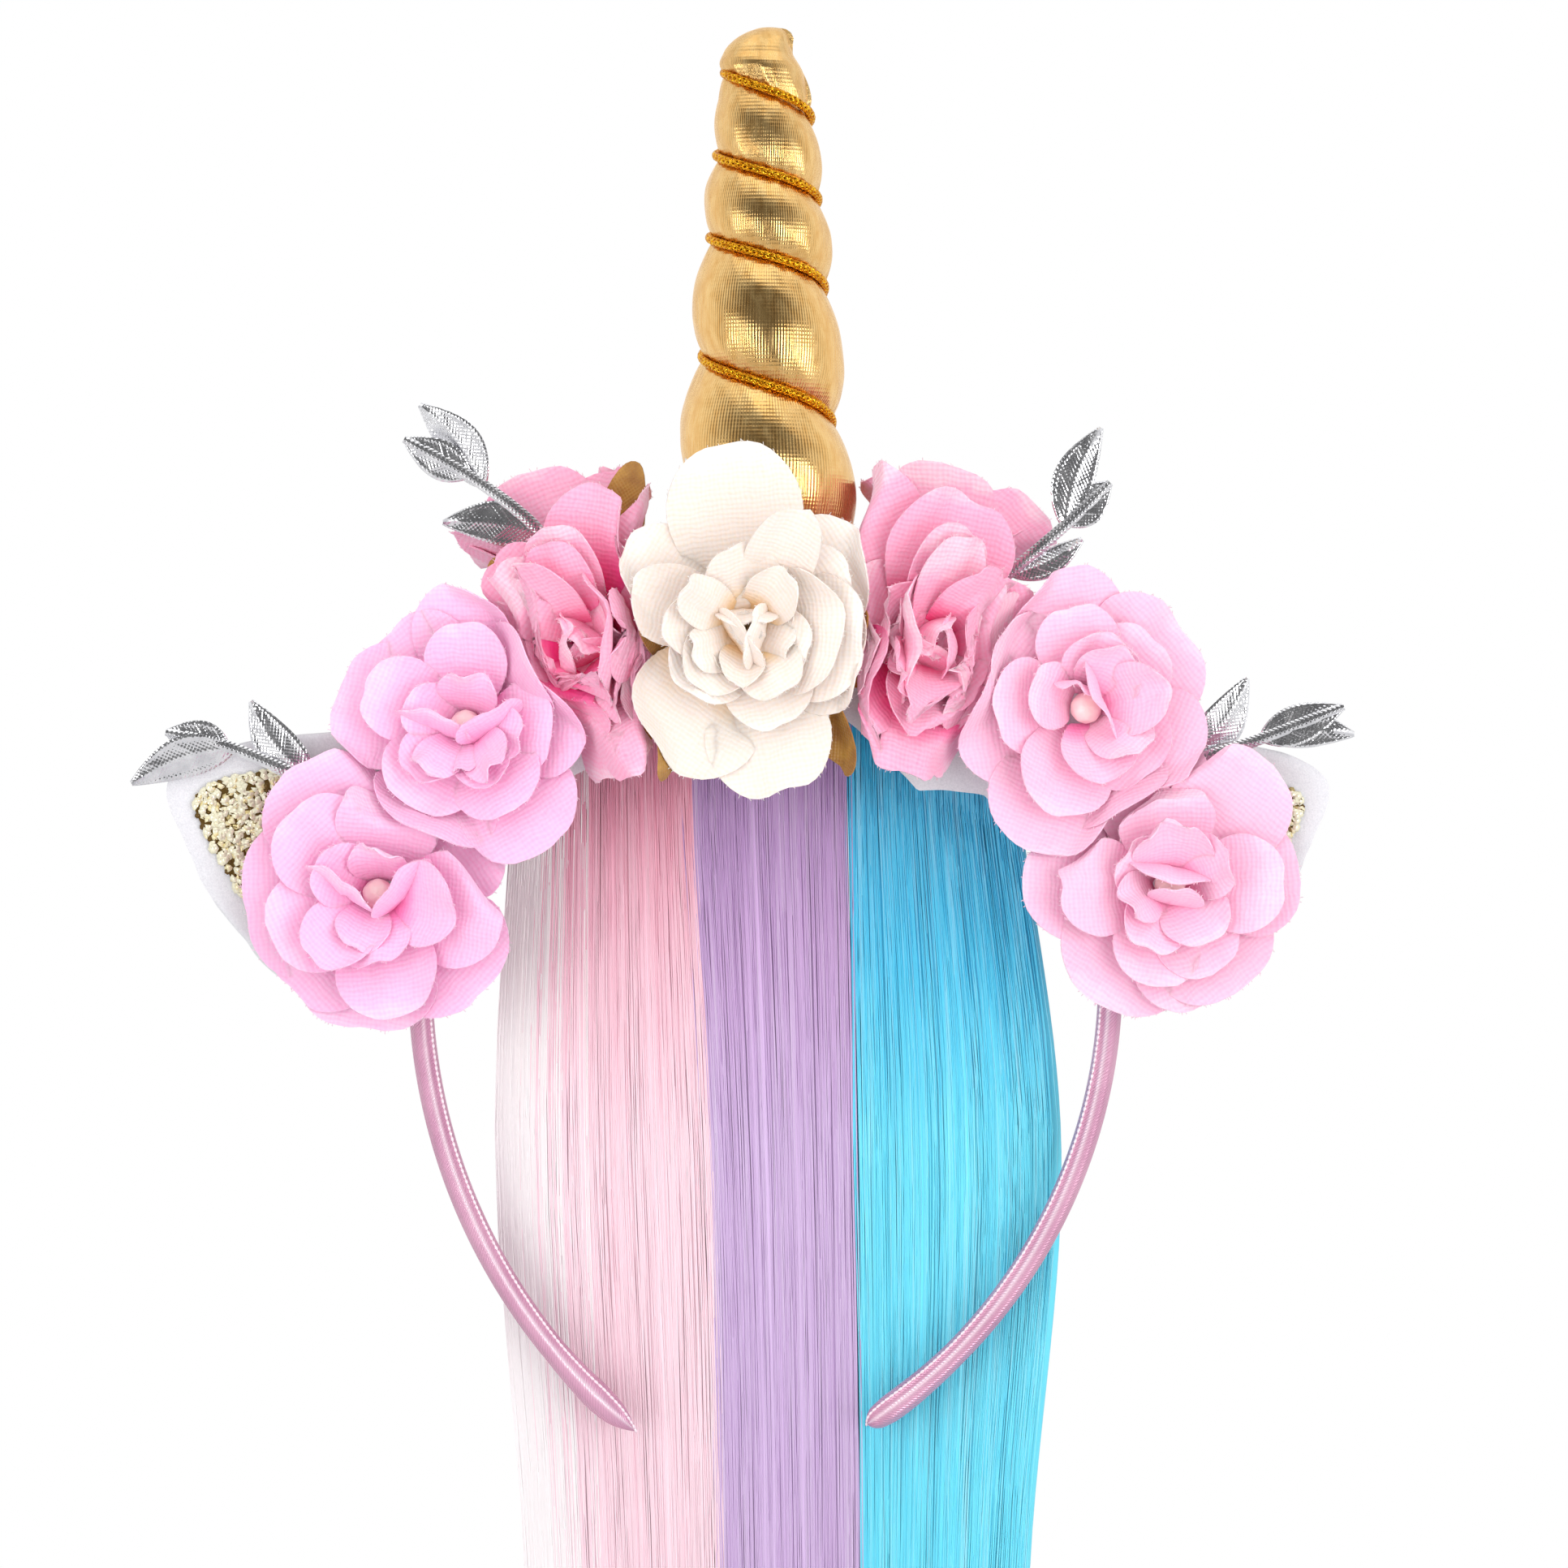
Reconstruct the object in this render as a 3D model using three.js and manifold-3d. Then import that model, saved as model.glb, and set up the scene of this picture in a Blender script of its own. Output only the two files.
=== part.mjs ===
// Unicorn headband in millimetres: +Z up, +X to the viewer's right, the viewer at -Y.
// The origin is the underside of the band at its top, where it sits on the crown of the head.
import * as THREE from "three";
import { mergeVertices } from "three/addons/utils/BufferGeometryUtils.js";
import Module from "manifold-3d";

const wasm = await Module();
wasm.setup();

const rad = THREE.MathUtils.degToRad;
const lerp = THREE.MathUtils.lerp;
const clamp = THREE.MathUtils.clamp;
const vec = (x, y, z) => new THREE.Vector3(x, y, z);
const FRONT = vec(0, -1, 0);
const UP = vec(0, 0, 1);

// Driving dimensions
const GAP = 0.3;
const BAND_RADIUS = 68; // centreline of the half circle over the head
const BAND_HALF = 2.4; // half the thickness across the centreline
const BAND_HALF_DEPTH = 3.75;
const LEGS = {
  left: { sign: -1, radius: 115.2, sweep: 50.8 },
  right: { sign: 1, radius: 104.7, sweep: 57.2 },
}; // centreline of each leg, bending inwards, and its degrees from the widest point to the tip
const ARC_Z = BAND_HALF - BAND_RADIUS; // height of the half circle's centre
const FELT_THICK = 2;
const FELT_BACK_Y = -BAND_HALF_DEPTH - GAP;
const FELT_FRONT_Y = FELT_BACK_Y - FELT_THICK;
const PETAL_THICK = 1;
const LEAF_THICK = 1;

// Finishes of the material slots
const SLOTS = {
  satin_pink: { color: "#d89ab4", roughness: 0.4, metalness: 0 },
  felt_white: { color: "#f4f2f3", roughness: 0.95, metalness: 0 },
  lame_gold: { color: "#d9ae6a", roughness: 0.32, metalness: 1 },
  cord_gold: { color: "#d99a26", roughness: 0.3, metalness: 1 },
  glitter_gold: { color: "#e6d29a", roughness: 0.25, metalness: 0.8 },
  leaf_silver: { color: "#d2d2d5", roughness: 0.25, metalness: 1 },
  petal_white: { color: "#f7f1e8", roughness: 0.75, metalness: 0 },
  petal_rose: { color: "#f58fb8", roughness: 0.7, metalness: 0 },
  petal_lilac: { color: "#f6b4e0", roughness: 0.7, metalness: 0 },
  petal_blush: { color: "#f8c3dc", roughness: 0.7, metalness: 0 },
  calyx_bronze: { color: "#a37c34", roughness: 0.5, metalness: 0 },
  bead_cream: { color: "#f6d3c6", roughness: 0.4, metalness: 0 },
  hair_white: { color: "#f3efef", roughness: 0.4, metalness: 0 },
  hair_pink: { color: "#f5bfd0", roughness: 0.4, metalness: 0 },
  hair_lilac: { color: "#bd9bd2", roughness: 0.4, metalness: 0 },
  hair_blue: { color: "#3fbfe6", roughness: 0.4, metalness: 0 },
};

const part = new THREE.Group();
part.name = "unicorn_headband";

// Meshes and solids
function addMesh(group, name, geometry, slot) {
  const material = new THREE.MeshStandardMaterial(SLOTS[slot]);
  material.name = slot;
  const mesh = new THREE.Mesh(geometry, material);
  mesh.name = name;
  group.add(mesh);
  return mesh;
}

function surface(points, faces) {
  const geometry = new THREE.BufferGeometry();
  geometry.setAttribute(
    "position",
    new THREE.Float32BufferAttribute(points.flatMap((p) => [p.x, p.y, p.z]), 3),
  );
  geometry.setIndex(faces);
  return geometry;
}

// Turns a closed surface's faces outwards.
function outward(points, faces) {
  let volume = 0;
  for (let i = 0; i < faces.length; i += 3) {
    const [a, b, c] = [points[faces[i]], points[faces[i + 1]], points[faces[i + 2]]];
    volume += a.dot(b.clone().cross(c));
  }
  if (volume < 0) faces.reverse();
  return surface(points, faces);
}

// Closed solid through rings of equally many points, capped at both ends.
function loft(rings) {
  const count = rings[0].length;
  const points = rings.flat();
  const faces = [];
  for (let i = 0; i + 1 < rings.length; i++) {
    for (let j = 0; j < count; j++) {
      const a = i * count + j;
      const b = i * count + ((j + 1) % count);
      faces.push(a, b, b + count, a, b + count, a + count);
    }
  }
  const cap = (ring, start, flip) => {
    const middle = ring.reduce((sum, p) => sum.add(p), vec(0, 0, 0)).divideScalar(count);
    const hub = points.push(middle) - 1;
    for (let j = 0; j < count; j++) {
      const a = start + j;
      const b = start + ((j + 1) % count);
      faces.push(hub, flip ? a : b, flip ? b : a);
    }
  };
  cap(rings[0], 0, false);
  cap(rings.at(-1), (rings.length - 1) * count, true);
  return outward(points, faces);
}

// Rows of points joined into an open sheet.
function sheet(rows) {
  const count = rows[0].length;
  const faces = [];
  for (let i = 0; i + 1 < rows.length; i++) {
    for (let j = 0; j + 1 < count; j++) {
      const a = i * count + j;
      faces.push(a, a + 1, a + count + 1, a, a + count + 1, a + count);
    }
  }
  return surface(rows.flat(), faces);
}

// Rings of points round a middle point joined into an open disc.
function disc(middle, rings) {
  const count = rings[0].length;
  const points = [middle, ...rings.flat()];
  const faces = [];
  for (let j = 0; j < count; j++) {
    const next = (j + 1) % count;
    faces.push(0, 1 + j, 1 + next);
    for (let i = 0; i + 1 < rings.length; i++) {
      const a = 1 + i * count + j;
      const b = 1 + i * count + next;
      faces.push(a, a + count, b + count, a, b + count, b);
    }
  }
  return surface(points, faces);
}

// Gives an open sheet a wall of even thickness, half on each side.
function thicken(open, thickness) {
  open.computeVertexNormals();
  const position = open.getAttribute("position");
  const normal = open.getAttribute("normal");
  const index = [...open.index.array];
  const count = position.count;
  const points = [];
  for (const side of [0.5, -0.5]) {
    for (let i = 0; i < count; i++) {
      const n = new THREE.Vector3().fromBufferAttribute(normal, i);
      const p = new THREE.Vector3().fromBufferAttribute(position, i);
      points.push(p.addScaledVector(n, side * thickness));
    }
  }
  const faces = [...index];
  const edges = new Map();
  for (let i = 0; i < index.length; i += 3) {
    const [a, b, c] = index.slice(i, i + 3);
    faces.push(count + a, count + c, count + b);
    for (const [from, to] of [[a, b], [b, c], [c, a]]) {
      if (!edges.delete(`${to},${from}`)) edges.set(`${from},${to}`, [from, to]);
    }
  }
  for (const [from, to] of edges.values()) {
    faces.push(from, count + from, count + to, from, count + to, to);
  }
  return outward(points, faces);
}

// A three.js shape with the vertices along its seams merged.
const SEAM = 1e-3;
function welded(shape) {
  shape.deleteAttribute("normal");
  shape.deleteAttribute("uv");
  return mergeVertices(shape, SEAM);
}

// Joins closed solids into one with manifold-3d.
function join(geometries) {
  const solids = geometries.map((geometry) => {
    const vertProperties = new Float32Array(geometry.getAttribute("position").array);
    const triVerts = new Uint32Array(geometry.index.array);
    return new wasm.Manifold(new wasm.Mesh({ numProp: 3, vertProperties, triVerts }));
  });
  const whole = solids.reduce((sum, solid) => sum.add(solid)).getMesh();
  const geometry = new THREE.BufferGeometry();
  geometry.setAttribute("position", new THREE.BufferAttribute(new Float32Array(whole.vertProperties), 3));
  geometry.setIndex(new THREE.BufferAttribute(new Uint32Array(whole.triVerts), 1));
  return geometry;
}

// Value at x in rows sorted by a key column, straight between rows.
function readTable(rows, key, column, x) {
  const last = rows.length - 2;
  let i = 0;
  while (i < last && rows[i + 1][key] < x) i++;
  const t = clamp((x - rows[i][key]) / (rows[i + 1][key] - rows[i][key]), 0, 1);
  return lerp(rows[i][column], rows[i + 1][column], t);
}

// Point in the band's plane at an angle from straight up, seen from the front.
function onArc(degrees, radius, y) {
  return vec(radius * Math.sin(rad(degrees)), y, ARC_Z + radius * Math.cos(rad(degrees)));
}

// Headband: a half circle and two legs that bend inwards
const BAND_SECTION = [
  { out: -2.4, y: -1.5 },
  { out: -0.6, y: -3.75 },
  { out: 1.3, y: -3.3 },
  { out: 2.4, y: -1.3 },
  { out: 2.4, y: 1.3 },
  { out: 1.3, y: 3.3 },
  { out: -0.6, y: 3.75 },
  { out: -2.4, y: 1.5 },
];
const LEG_STEPS = 11;
const ARC_STEPS = 18;
const TIP_SCALES = [0.45, 0.85, 1.15, 1.2, 1.08];

function bandStations() {
  const leg = ({ sign, radius, sweep }, share) => {
    const bend = rad(sweep * share);
    const x = BAND_RADIUS - radius * (1 - Math.cos(bend));
    const out = vec(sign * Math.cos(bend), 0, -Math.sin(bend));
    return { at: vec(sign * x, 0, ARC_Z - radius * Math.sin(bend)), out };
  };
  const stations = [];
  for (let i = 0; i <= LEG_STEPS; i++) stations.push(leg(LEGS.left, 1 - i / LEG_STEPS));
  for (let i = 1; i < ARC_STEPS; i++) {
    const angle = -90 + (180 * i) / ARC_STEPS;
    stations.push({ at: onArc(angle, BAND_RADIUS, 0), out: onArc(angle, 1, 0).setZ(Math.cos(rad(angle))) });
  }
  for (let i = 0; i <= LEG_STEPS; i++) stations.push(leg(LEGS.right, i / LEG_STEPS));
  return stations;
}

function headband() {
  const stations = bandStations();
  const rings = stations.map(({ at, out }, i) => {
    const fromTip = Math.min(i, stations.length - 1 - i);
    const scale = TIP_SCALES[fromTip] ?? 1;
    return BAND_SECTION.map((p) => {
      const across = vec(0, p.y, 0).addScaledVector(out, p.out);
      return at.clone().addScaledVector(across, scale);
    });
  });
  return loft(rings);
}
addMesh(part, "headband", headband(), "satin_pink");

// Felt backing: a crescent in front of the band, notched under the horn
const FELT_ROWS = [
  { angle: -88, inner: 66, outer: 80 },
  { angle: -80, inner: 62, outer: 83 },
  { angle: -70, inner: 60, outer: 83 },
  { angle: -55, inner: 58, outer: 83 },
  { angle: -40, inner: 54, outer: 84 },
  { angle: -31, inner: 53, outer: 92 },
  { angle: -24, inner: 53, outer: 92 },
  { angle: -18, inner: 53, outer: 68.5 },
  { angle: 0, inner: 53, outer: 68.5 },
  { angle: 18, inner: 53, outer: 68.5 },
  { angle: 24, inner: 51, outer: 92 },
  { angle: 31, inner: 49, outer: 92 },
  { angle: 39, inner: 47.5, outer: 84 },
  { angle: 50, inner: 56, outer: 83 },
  { angle: 70, inner: 60, outer: 83 },
  { angle: 80, inner: 62, outer: 83 },
  { angle: 88, inner: 66, outer: 80 },
];
const FELT_STEP = 20; // degrees between sections

function feltBacking() {
  const angles = new Set(FELT_ROWS.map((row) => row.angle));
  for (let angle = -80; angle <= 80; angle += FELT_STEP) angles.add(angle);
  const rings = [...angles].sort((a, b) => a - b).map((angle) => {
    const inner = readTable(FELT_ROWS, "angle", "inner", angle);
    const outer = readTable(FELT_ROWS, "angle", "outer", angle);
    return [
      onArc(angle, inner, FELT_FRONT_Y),
      onArc(angle, outer, FELT_FRONT_Y),
      onArc(angle, outer, FELT_BACK_Y),
      onArc(angle, inner, FELT_BACK_Y),
    ];
  });
  return loft(rings);
}
addMesh(part, "felt_backing", feltBacking(), "felt_white");

// Horn: stuffed cone, drawn in along the wound cord
const HORN_Y = 4;
const HORN_BASE_Z = 2 * BAND_HALF + GAP;
const HORN_SHOULDER_Z = 116.5; // where the round tip starts
const CORD_RADIUS = 1.05;
const CORD_TURNS = [
  { right: 117.8, left: 113.4 },
  { right: 104.6, left: 97.1 },
  { right: 88.3, left: 80.8 },
  { right: 70.9, left: 57.4 },
  { right: 44.3, left: 30.4 },
  { right: 17.4, left: 8.2 },
]; // height of the cord at the horn's right and left sides, from the tip down
const CORD_CURVE = new THREE.SplineCurve(
  CORD_TURNS.flatMap((turn) => [turn.right, turn.left]).map((z, i) => new THREE.Vector2(i, z)),
);
const CORD_HALF_TURNS = CORD_TURNS.length * 2 - 1;
const HORN_TIP = [
  { z: 116.2, x: -1.6, radius: 6.9 },
  { z: 120.2, x: -0.6, radius: 5.2 },
]; // rings of the round tip, which leans to the left under its top
const HORN_TOP = vec(0.4, HORN_Y, 122.4);
const HORN_TIP_RADIUS = 8.3;
const HORN_FLARE = 0.148; // radius gained for each millimetre down from the shoulder
const HORN_FLARE_EASE = 0.00042; // how that gain eases towards the base
const GROOVE = { depth: 3.15, at: 92, slope: 0.043, least: 2.1, most: 5.2 };
const BULGE_POWER = 0.6; // below one makes the cushion between two turns fuller
const HORN_COLUMNS = 20;
const ROW_ROOM = 0.4; // least height between two rows of a column
const TIP_ROOM = 4; // above this height the cloth over the first turn gets a row of its own
const FOOT_ROOM = 0.8;
const FOOT_DROP = 4; // the last bulge would end this far under the base
const BULGE_ROWS = [0, 0.14, 0.5, 0.86]; // shares of the way from one turn of the cord to the next

const cordHeight = (halfTurns) => CORD_CURVE.getPoint(halfTurns / CORD_HALF_TURNS).y;

function hornEnvelope(z) {
  const down = HORN_SHOULDER_Z - z;
  return HORN_TIP_RADIUS + HORN_FLARE * down - HORN_FLARE_EASE * down * down;
}
const grooveDepth = (z) => clamp(GROOVE.depth + GROOVE.slope * (GROOVE.at - z), GROOVE.least, GROOVE.most);

function hornPoint(angle, z, share) {
  const swell = Math.sin(Math.PI * share) ** BULGE_POWER;
  const radius = hornEnvelope(z) - grooveDepth(z) * (1 - swell);
  return vec(radius * Math.cos(angle), HORN_Y + radius * Math.sin(angle), z);
}

// One line of points down the horn, from the round tip to the base.
function hornColumn(angle) {
  const line = HORN_TIP.map((ring) =>
    vec(ring.x + ring.radius * Math.cos(angle), HORN_Y + ring.radius * Math.sin(angle), ring.z));
  const start = angle / Math.PI;
  const first = cordHeight(start);
  const above = lerp(HORN_TIP[0].z, first, 0.5);
  line.unshift(line.pop());
  if (HORN_TIP[0].z - first > TIP_ROOM) line.push(hornPoint(angle, above, 0.5));
  for (let turn = start; turn <= CORD_HALF_TURNS; turn += 2) {
    const top = cordHeight(turn);
    const lastTurn = turn + 2 > CORD_HALF_TURNS;
    const bottom = lastTurn ? HORN_BASE_Z - FOOT_DROP : cordHeight(turn + 2);
    for (const share of BULGE_ROWS) {
      const z = lerp(top, bottom, share);
      const fits = z < line.at(-1).z - ROW_ROOM && z > HORN_BASE_Z + FOOT_ROOM;
      if (fits) line.push(hornPoint(angle, z, share));
    }
  }
  const foot = line.at(-1);
  line.push(vec(foot.x, foot.y, HORN_BASE_Z));
  return line;
}

// Joins neighbouring columns with triangles, always stepping to the higher of the two next points.
function horn() {
  const points = [HORN_TOP, vec(0, HORN_Y, HORN_BASE_Z)];
  const columns = [];
  for (let i = 0; i < HORN_COLUMNS; i++) {
    const line = hornColumn((2 * Math.PI * i) / HORN_COLUMNS);
    columns.push(line.map((p) => points.push(p) - 1));
  }
  const faces = [];
  columns.forEach((a, i) => {
    const b = columns[(i + 1) % HORN_COLUMNS];
    faces.push(0, a[0], b[0], 1, b.at(-1), a.at(-1));
    let [p, q] = [0, 0];
    while (p + 1 < a.length || q + 1 < b.length) {
      const zA = p + 1 < a.length ? points[a[p + 1]].z : -Infinity;
      const zB = q + 1 < b.length ? points[b[q + 1]].z : -Infinity;
      if (zA >= zB) {
        faces.push(a[p], a[p + 1], b[q]);
        p++;
      } else {
        faces.push(a[p], b[q + 1], b[q]);
        q++;
      }
    }
  });
  return outward(points, faces);
}
addMesh(part, "horn", horn(), "lame_gold");

// Cord wound in the groove of the horn
const CORD_STEPS_PER_TURN = 15;
const CORD_SIDES = 5;
const CORD_START = 0.8; // in half turns from the tip's right side
const CORD_END = CORD_HALF_TURNS - 0.9;
const CORD_ROOM = 3 * GAP; // the cord stands this far off the bottom of the groove

function hornCord() {
  const steps = Math.round(((CORD_END - CORD_START) / 2) * CORD_STEPS_PER_TURN);
  const rings = [];
  for (let i = 0; i <= steps; i++) {
    const halfTurns = lerp(CORD_START, CORD_END, i / steps);
    const angle = halfTurns * Math.PI;
    const z = cordHeight(halfTurns);
    const seat = hornEnvelope(z) - grooveDepth(z) + CORD_RADIUS + CORD_ROOM;
    const out = vec(Math.cos(angle), Math.sin(angle), 0);
    const middle = vec(0, HORN_Y, z).addScaledVector(out, seat);
    const ring = [];
    for (let side = 0; side < CORD_SIDES; side++) {
      const around = (2 * Math.PI * side) / CORD_SIDES;
      const across = UP.clone().multiplyScalar(Math.sin(around)).addScaledVector(out, Math.cos(around));
      ring.push(middle.clone().addScaledVector(across, CORD_RADIUS));
    }
    rings.push(ring);
  }
  return loft(rings);
}
addMesh(part, "horn_cord", hornCord(), "cord_gold");

// Ears: felt plates outside the band, given by their reach from the arc's centre
const EAR_THICK = 3;
const EAR_ROOM = 0.8; // between the ear's foot and the band
const EAR_INNER = BAND_RADIUS + BAND_HALF + EAR_ROOM;
const EAR_Y = FELT_BACK_Y + GAP + EAR_THICK / 2;
const EAR_ROWS = [
  { angle: 55, reach: 84 },
  { angle: 59, reach: 92 },
  { angle: 64, reach: 105 },
  { angle: 68, reach: 114 },
  { angle: 70.3, reach: 117 },
  { angle: 72, reach: 116.4 },
  { angle: 75, reach: 112 },
  { angle: 79.5, reach: 106 },
  { angle: 84, reach: 98.5 },
  { angle: 89, reach: 90 },
  { angle: 92.5, reach: 79 },
];
const GLITTER_ROWS = [
  { angle: 63.5, reach: 92 },
  { angle: 67, reach: 102 },
  { angle: 70, reach: 109.5 },
  { angle: 71.8, reach: 111 },
  { angle: 74, reach: 108 },
  { angle: 79, reach: 100 },
  { angle: 85, reach: 90.5 },
];
const GLITTER_INNER = 84.5;
const GLITTER_THICK = 0.8;
const EARS = [
  { side: "left", sign: -1, stretch: 1.055, turn: 1 },
  { side: "right", sign: 1, stretch: 1, turn: 0 },
];
const EAR_BEND = 0.0016; // the tip curls forwards with the square of its distance
const EAR_BEND_FROM = 86;
const EAR_ACROSS = 3; // strips from the foot to the rim
const GLITTER_ACROSS = 3;

function earSheet(rows, inner, y, ear, across) {
  return sheet(rows.map(({ angle, reach }) => {
    const line = [];
    for (let i = 0; i <= across; i++) {
      const radius = lerp(inner, reach * ear.stretch, i / across);
      const curl = EAR_BEND * Math.max(0, radius - EAR_BEND_FROM) ** 2;
      line.push(onArc(ear.sign * (angle + ear.turn), radius, y - curl));
    }
    return line;
  }));
}
for (const ear of EARS) {
  const felt = earSheet(EAR_ROWS, EAR_INNER, EAR_Y, ear, EAR_ACROSS);
  addMesh(part, `ear_${ear.side}`, thicken(felt, EAR_THICK), "felt_white");
  const glitterY = EAR_Y - EAR_THICK / 2 - GLITTER_THICK / 2 - GAP;
  const glitter = earSheet(GLITTER_ROWS, GLITTER_INNER, glitterY, ear, GLITTER_ACROSS);
  addMesh(part, `ear_glitter_${ear.side}`, thicken(glitter, GLITTER_THICK), "glitter_gold");
}

// Silver sprigs: a flat stem with two leaves, seated on the felt at its inner end
const SPRIG_Y = FELT_FRONT_Y - GAP - LEAF_THICK / 2;
const STEM_WIDTH = 2.2;
const SPRIG_SEATED = 4; // length of stem that lies on the felt
const SPRIG_RISE = 0.07; // how far it stands off for each millimetre past that
const SPRIGS = [
  {
    name: "sprig_upper_left",
    stem: [{ x: -40, z: 15.8 }, { x: -46, z: 24 }, { x: -58, z: 33 }, { x: -70.5, z: 40 }],
    leaves: [
      { base: { x: -55, z: 31 }, tip: { x: -67.4, z: 46.7 }, width: 8, bow: -1.5 },
      { base: { x: -43.5, z: 21 }, tip: { x: -63, z: 23.8 }, width: 8, bow: -1.5 },
    ],
  },
  {
    name: "sprig_upper_right",
    stem: [{ x: 44, z: 11 }, { x: 49, z: 15 }, { x: 59, z: 23.5 }, { x: 67.4, z: 31.5 }],
    leaves: [
      { base: { x: 58.5, z: 23 }, tip: { x: 65.6, z: 42.2 }, width: 7.6, bow: 1.5 },
      { base: { x: 48.5, z: 13.5 }, tip: { x: 62, z: 20.5 }, width: 5, bow: -1 },
    ],
  },
  {
    name: "sprig_lower_left",
    stem: [{ x: -74, z: -32 }, { x: -90, z: -26.2 }, { x: -105, z: -20 }, { x: -117, z: -17.2 }],
    leaves: [
      { base: { x: -89, z: -26 }, tip: { x: -100.5, z: -11.2 }, width: 8, bow: 1.5 },
      { base: { x: -104, z: -20.2 }, tip: { x: -123.7, z: -27.2 }, width: 7.5, bow: -1.5 },
    ],
  },
  {
    name: "sprig_lower_right",
    stem: [{ x: 75, z: -29 }, { x: 84, z: -23 }, { x: 97, z: -18.5 }, { x: 113, z: -12.2 }],
    leaves: [
      { base: { x: 82.5, z: -22.5 }, tip: { x: 94.2, z: -6.7 }, width: 8, bow: -1.5 },
      { base: { x: 98, z: -17.8 }, tip: { x: 115, z: -17.6 }, width: 6.5, bow: 1 },
    ],
  },
];
const LEAF_SHARES = [0, 0.15, 0.38, 0.64, 0.86, 1];
const LEAF_FOLD = 0.5; // the midrib stands this far behind the leaf's edges
const LEAF_POINT = 0.25; // half width at the two ends
const LEAF_BELLY = 0.8; // below one moves the widest place towards the tip
const LEAF_FULLNESS = 0.9;
const STEM_STEPS = 7;

// The sprig stands away from the felt as it leaves it.
function sprigY(root, x, z) {
  const past = Math.hypot(x - root.x, z - root.z) - SPRIG_SEATED;
  return SPRIG_Y - SPRIG_RISE * Math.max(0, past);
}

function leafSheet(root, leaf) {
  const along = vec(leaf.tip.x - leaf.base.x, 0, leaf.tip.z - leaf.base.z);
  const across = vec(-along.z, 0, along.x).normalize();
  return sheet(LEAF_SHARES.map((share) => {
    const half = LEAF_POINT + (leaf.width / 2) * Math.sin(Math.PI * share ** LEAF_BELLY) ** LEAF_FULLNESS;
    const bow = leaf.bow * Math.sin(Math.PI * share);
    return [-1, 0, 1].map((side) => {
      const p = vec(leaf.base.x, 0, leaf.base.z).addScaledVector(along, share);
      p.addScaledVector(across, bow + side * half);
      const fold = side ? -LEAF_FOLD * Math.sin(Math.PI * share) : 0;
      return p.setY(sprigY(root, p.x, p.z) + fold);
    });
  }));
}

function stemSheet(stem) {
  const curve = new THREE.CatmullRomCurve3(stem.map((p) => vec(p.x, 0, p.z)));
  const rows = [];
  for (let i = 0; i <= STEM_STEPS; i++) {
    const at = curve.getPoint(i / STEM_STEPS);
    const along = curve.getTangent(i / STEM_STEPS);
    const across = vec(-along.z, 0, along.x);
    rows.push([-1, 1].map((side) => {
      const p = at.clone().addScaledVector(across, (side * STEM_WIDTH) / 2);
      return p.setY(sprigY(stem[0], p.x, p.z));
    }));
  }
  return sheet(rows);
}
for (const sprig of SPRIGS) {
  const pieces = [stemSheet(sprig.stem), ...sprig.leaves.map((leaf) => leafSheet(sprig.stem[0], leaf))];
  addMesh(part, sprig.name, join(pieces.map((piece) => thicken(piece, LEAF_THICK))), "leaf_silver");
}

// Hair: hanks of locks that hang behind the band from a thin sewn head
const HAIR_END_Z = -296;
const HAIR_Y = 10.4;
const HAIR_HALF = 3.6;
const LOCK_SWELL = 0.9;
const HAIR_TOP_HALF = 1.3;
const HAIR_TOP_Y = BAND_HALF_DEPTH + GAP + HAIR_TOP_HALF;
const HAIR_RISE = 1.4; // the sewn head stands this far above the band's centreline
const HAIR_SPREAD = 55; // past this half width the head runs level
const HAIR_END_HALF = 0.8;
const LOCK_POINT = 9; // the locks' middles hang this far below their edges
const HANKS = [
  { name: "hair_white", locks: 2, left: [-50, -53.5, -47.5, -44], right: [-44.5, -46.6, -42, -39] },
  { name: "hair_pink", locks: 5, left: [-44, -46, -41.4, -38.4], right: [-15.2, -11.6, -9.2, -8.4] },
  { name: "hair_lilac", locks: 4, left: [-14.7, -11, -8.6, -7.8], right: [16, 17.2, 18.4, 18.2] },
  { name: "hair_blue", locks: 5, left: [16.6, 17.8, 19, 18.8], right: [50, 58.5, 52.5, 48.5] },
]; // left and right edges at the band, at the widest level, at the photo's lower edge and at the end
const HAIR_LEVELS = [-30, -95, -182, HAIR_END_Z];
const HAIR_SECTIONS = [
  { drop: 0, half: HAIR_TOP_HALF, y: HAIR_TOP_Y, swell: 0 },
  { drop: 7, half: 1.9, y: HAIR_TOP_Y + 1.5, swell: 0.4 },
  { drop: 26, half: HAIR_HALF, y: HAIR_Y, swell: 1 },
];
const HAIR_LOWER = [-95, -182];

const bandTop = (x) => ARC_Z + Math.sqrt(BAND_RADIUS ** 2 - Math.min(Math.abs(x), HAIR_SPREAD) ** 2);

function hankEdge(edges, z) {
  const rows = HAIR_LEVELS.map((level, i) => ({ level: -level, x: edges[i] }));
  return readTable(rows, "level", "x", -z);
}

function hankRing(hank, heightAt, half, y, swell) {
  const count = hank.locks * 2;
  const edge = (back) => {
    const line = [];
    for (let i = 0; i <= count; i++) {
      const share = i / count;
      const guess = lerp(hank.left[0], hank.right[0], share);
      const z = heightAt(guess, i);
      const x = lerp(hankEdge(hank.left, z), hankEdge(hank.right, z), share);
      const bulge = i % 2 ? LOCK_SWELL * swell : 0;
      line.push(vec(x, y + (back ? 1 : -1) * (half + bulge), z));
    }
    return line;
  };
  return [...edge(false), ...edge(true).reverse()];
}

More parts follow.
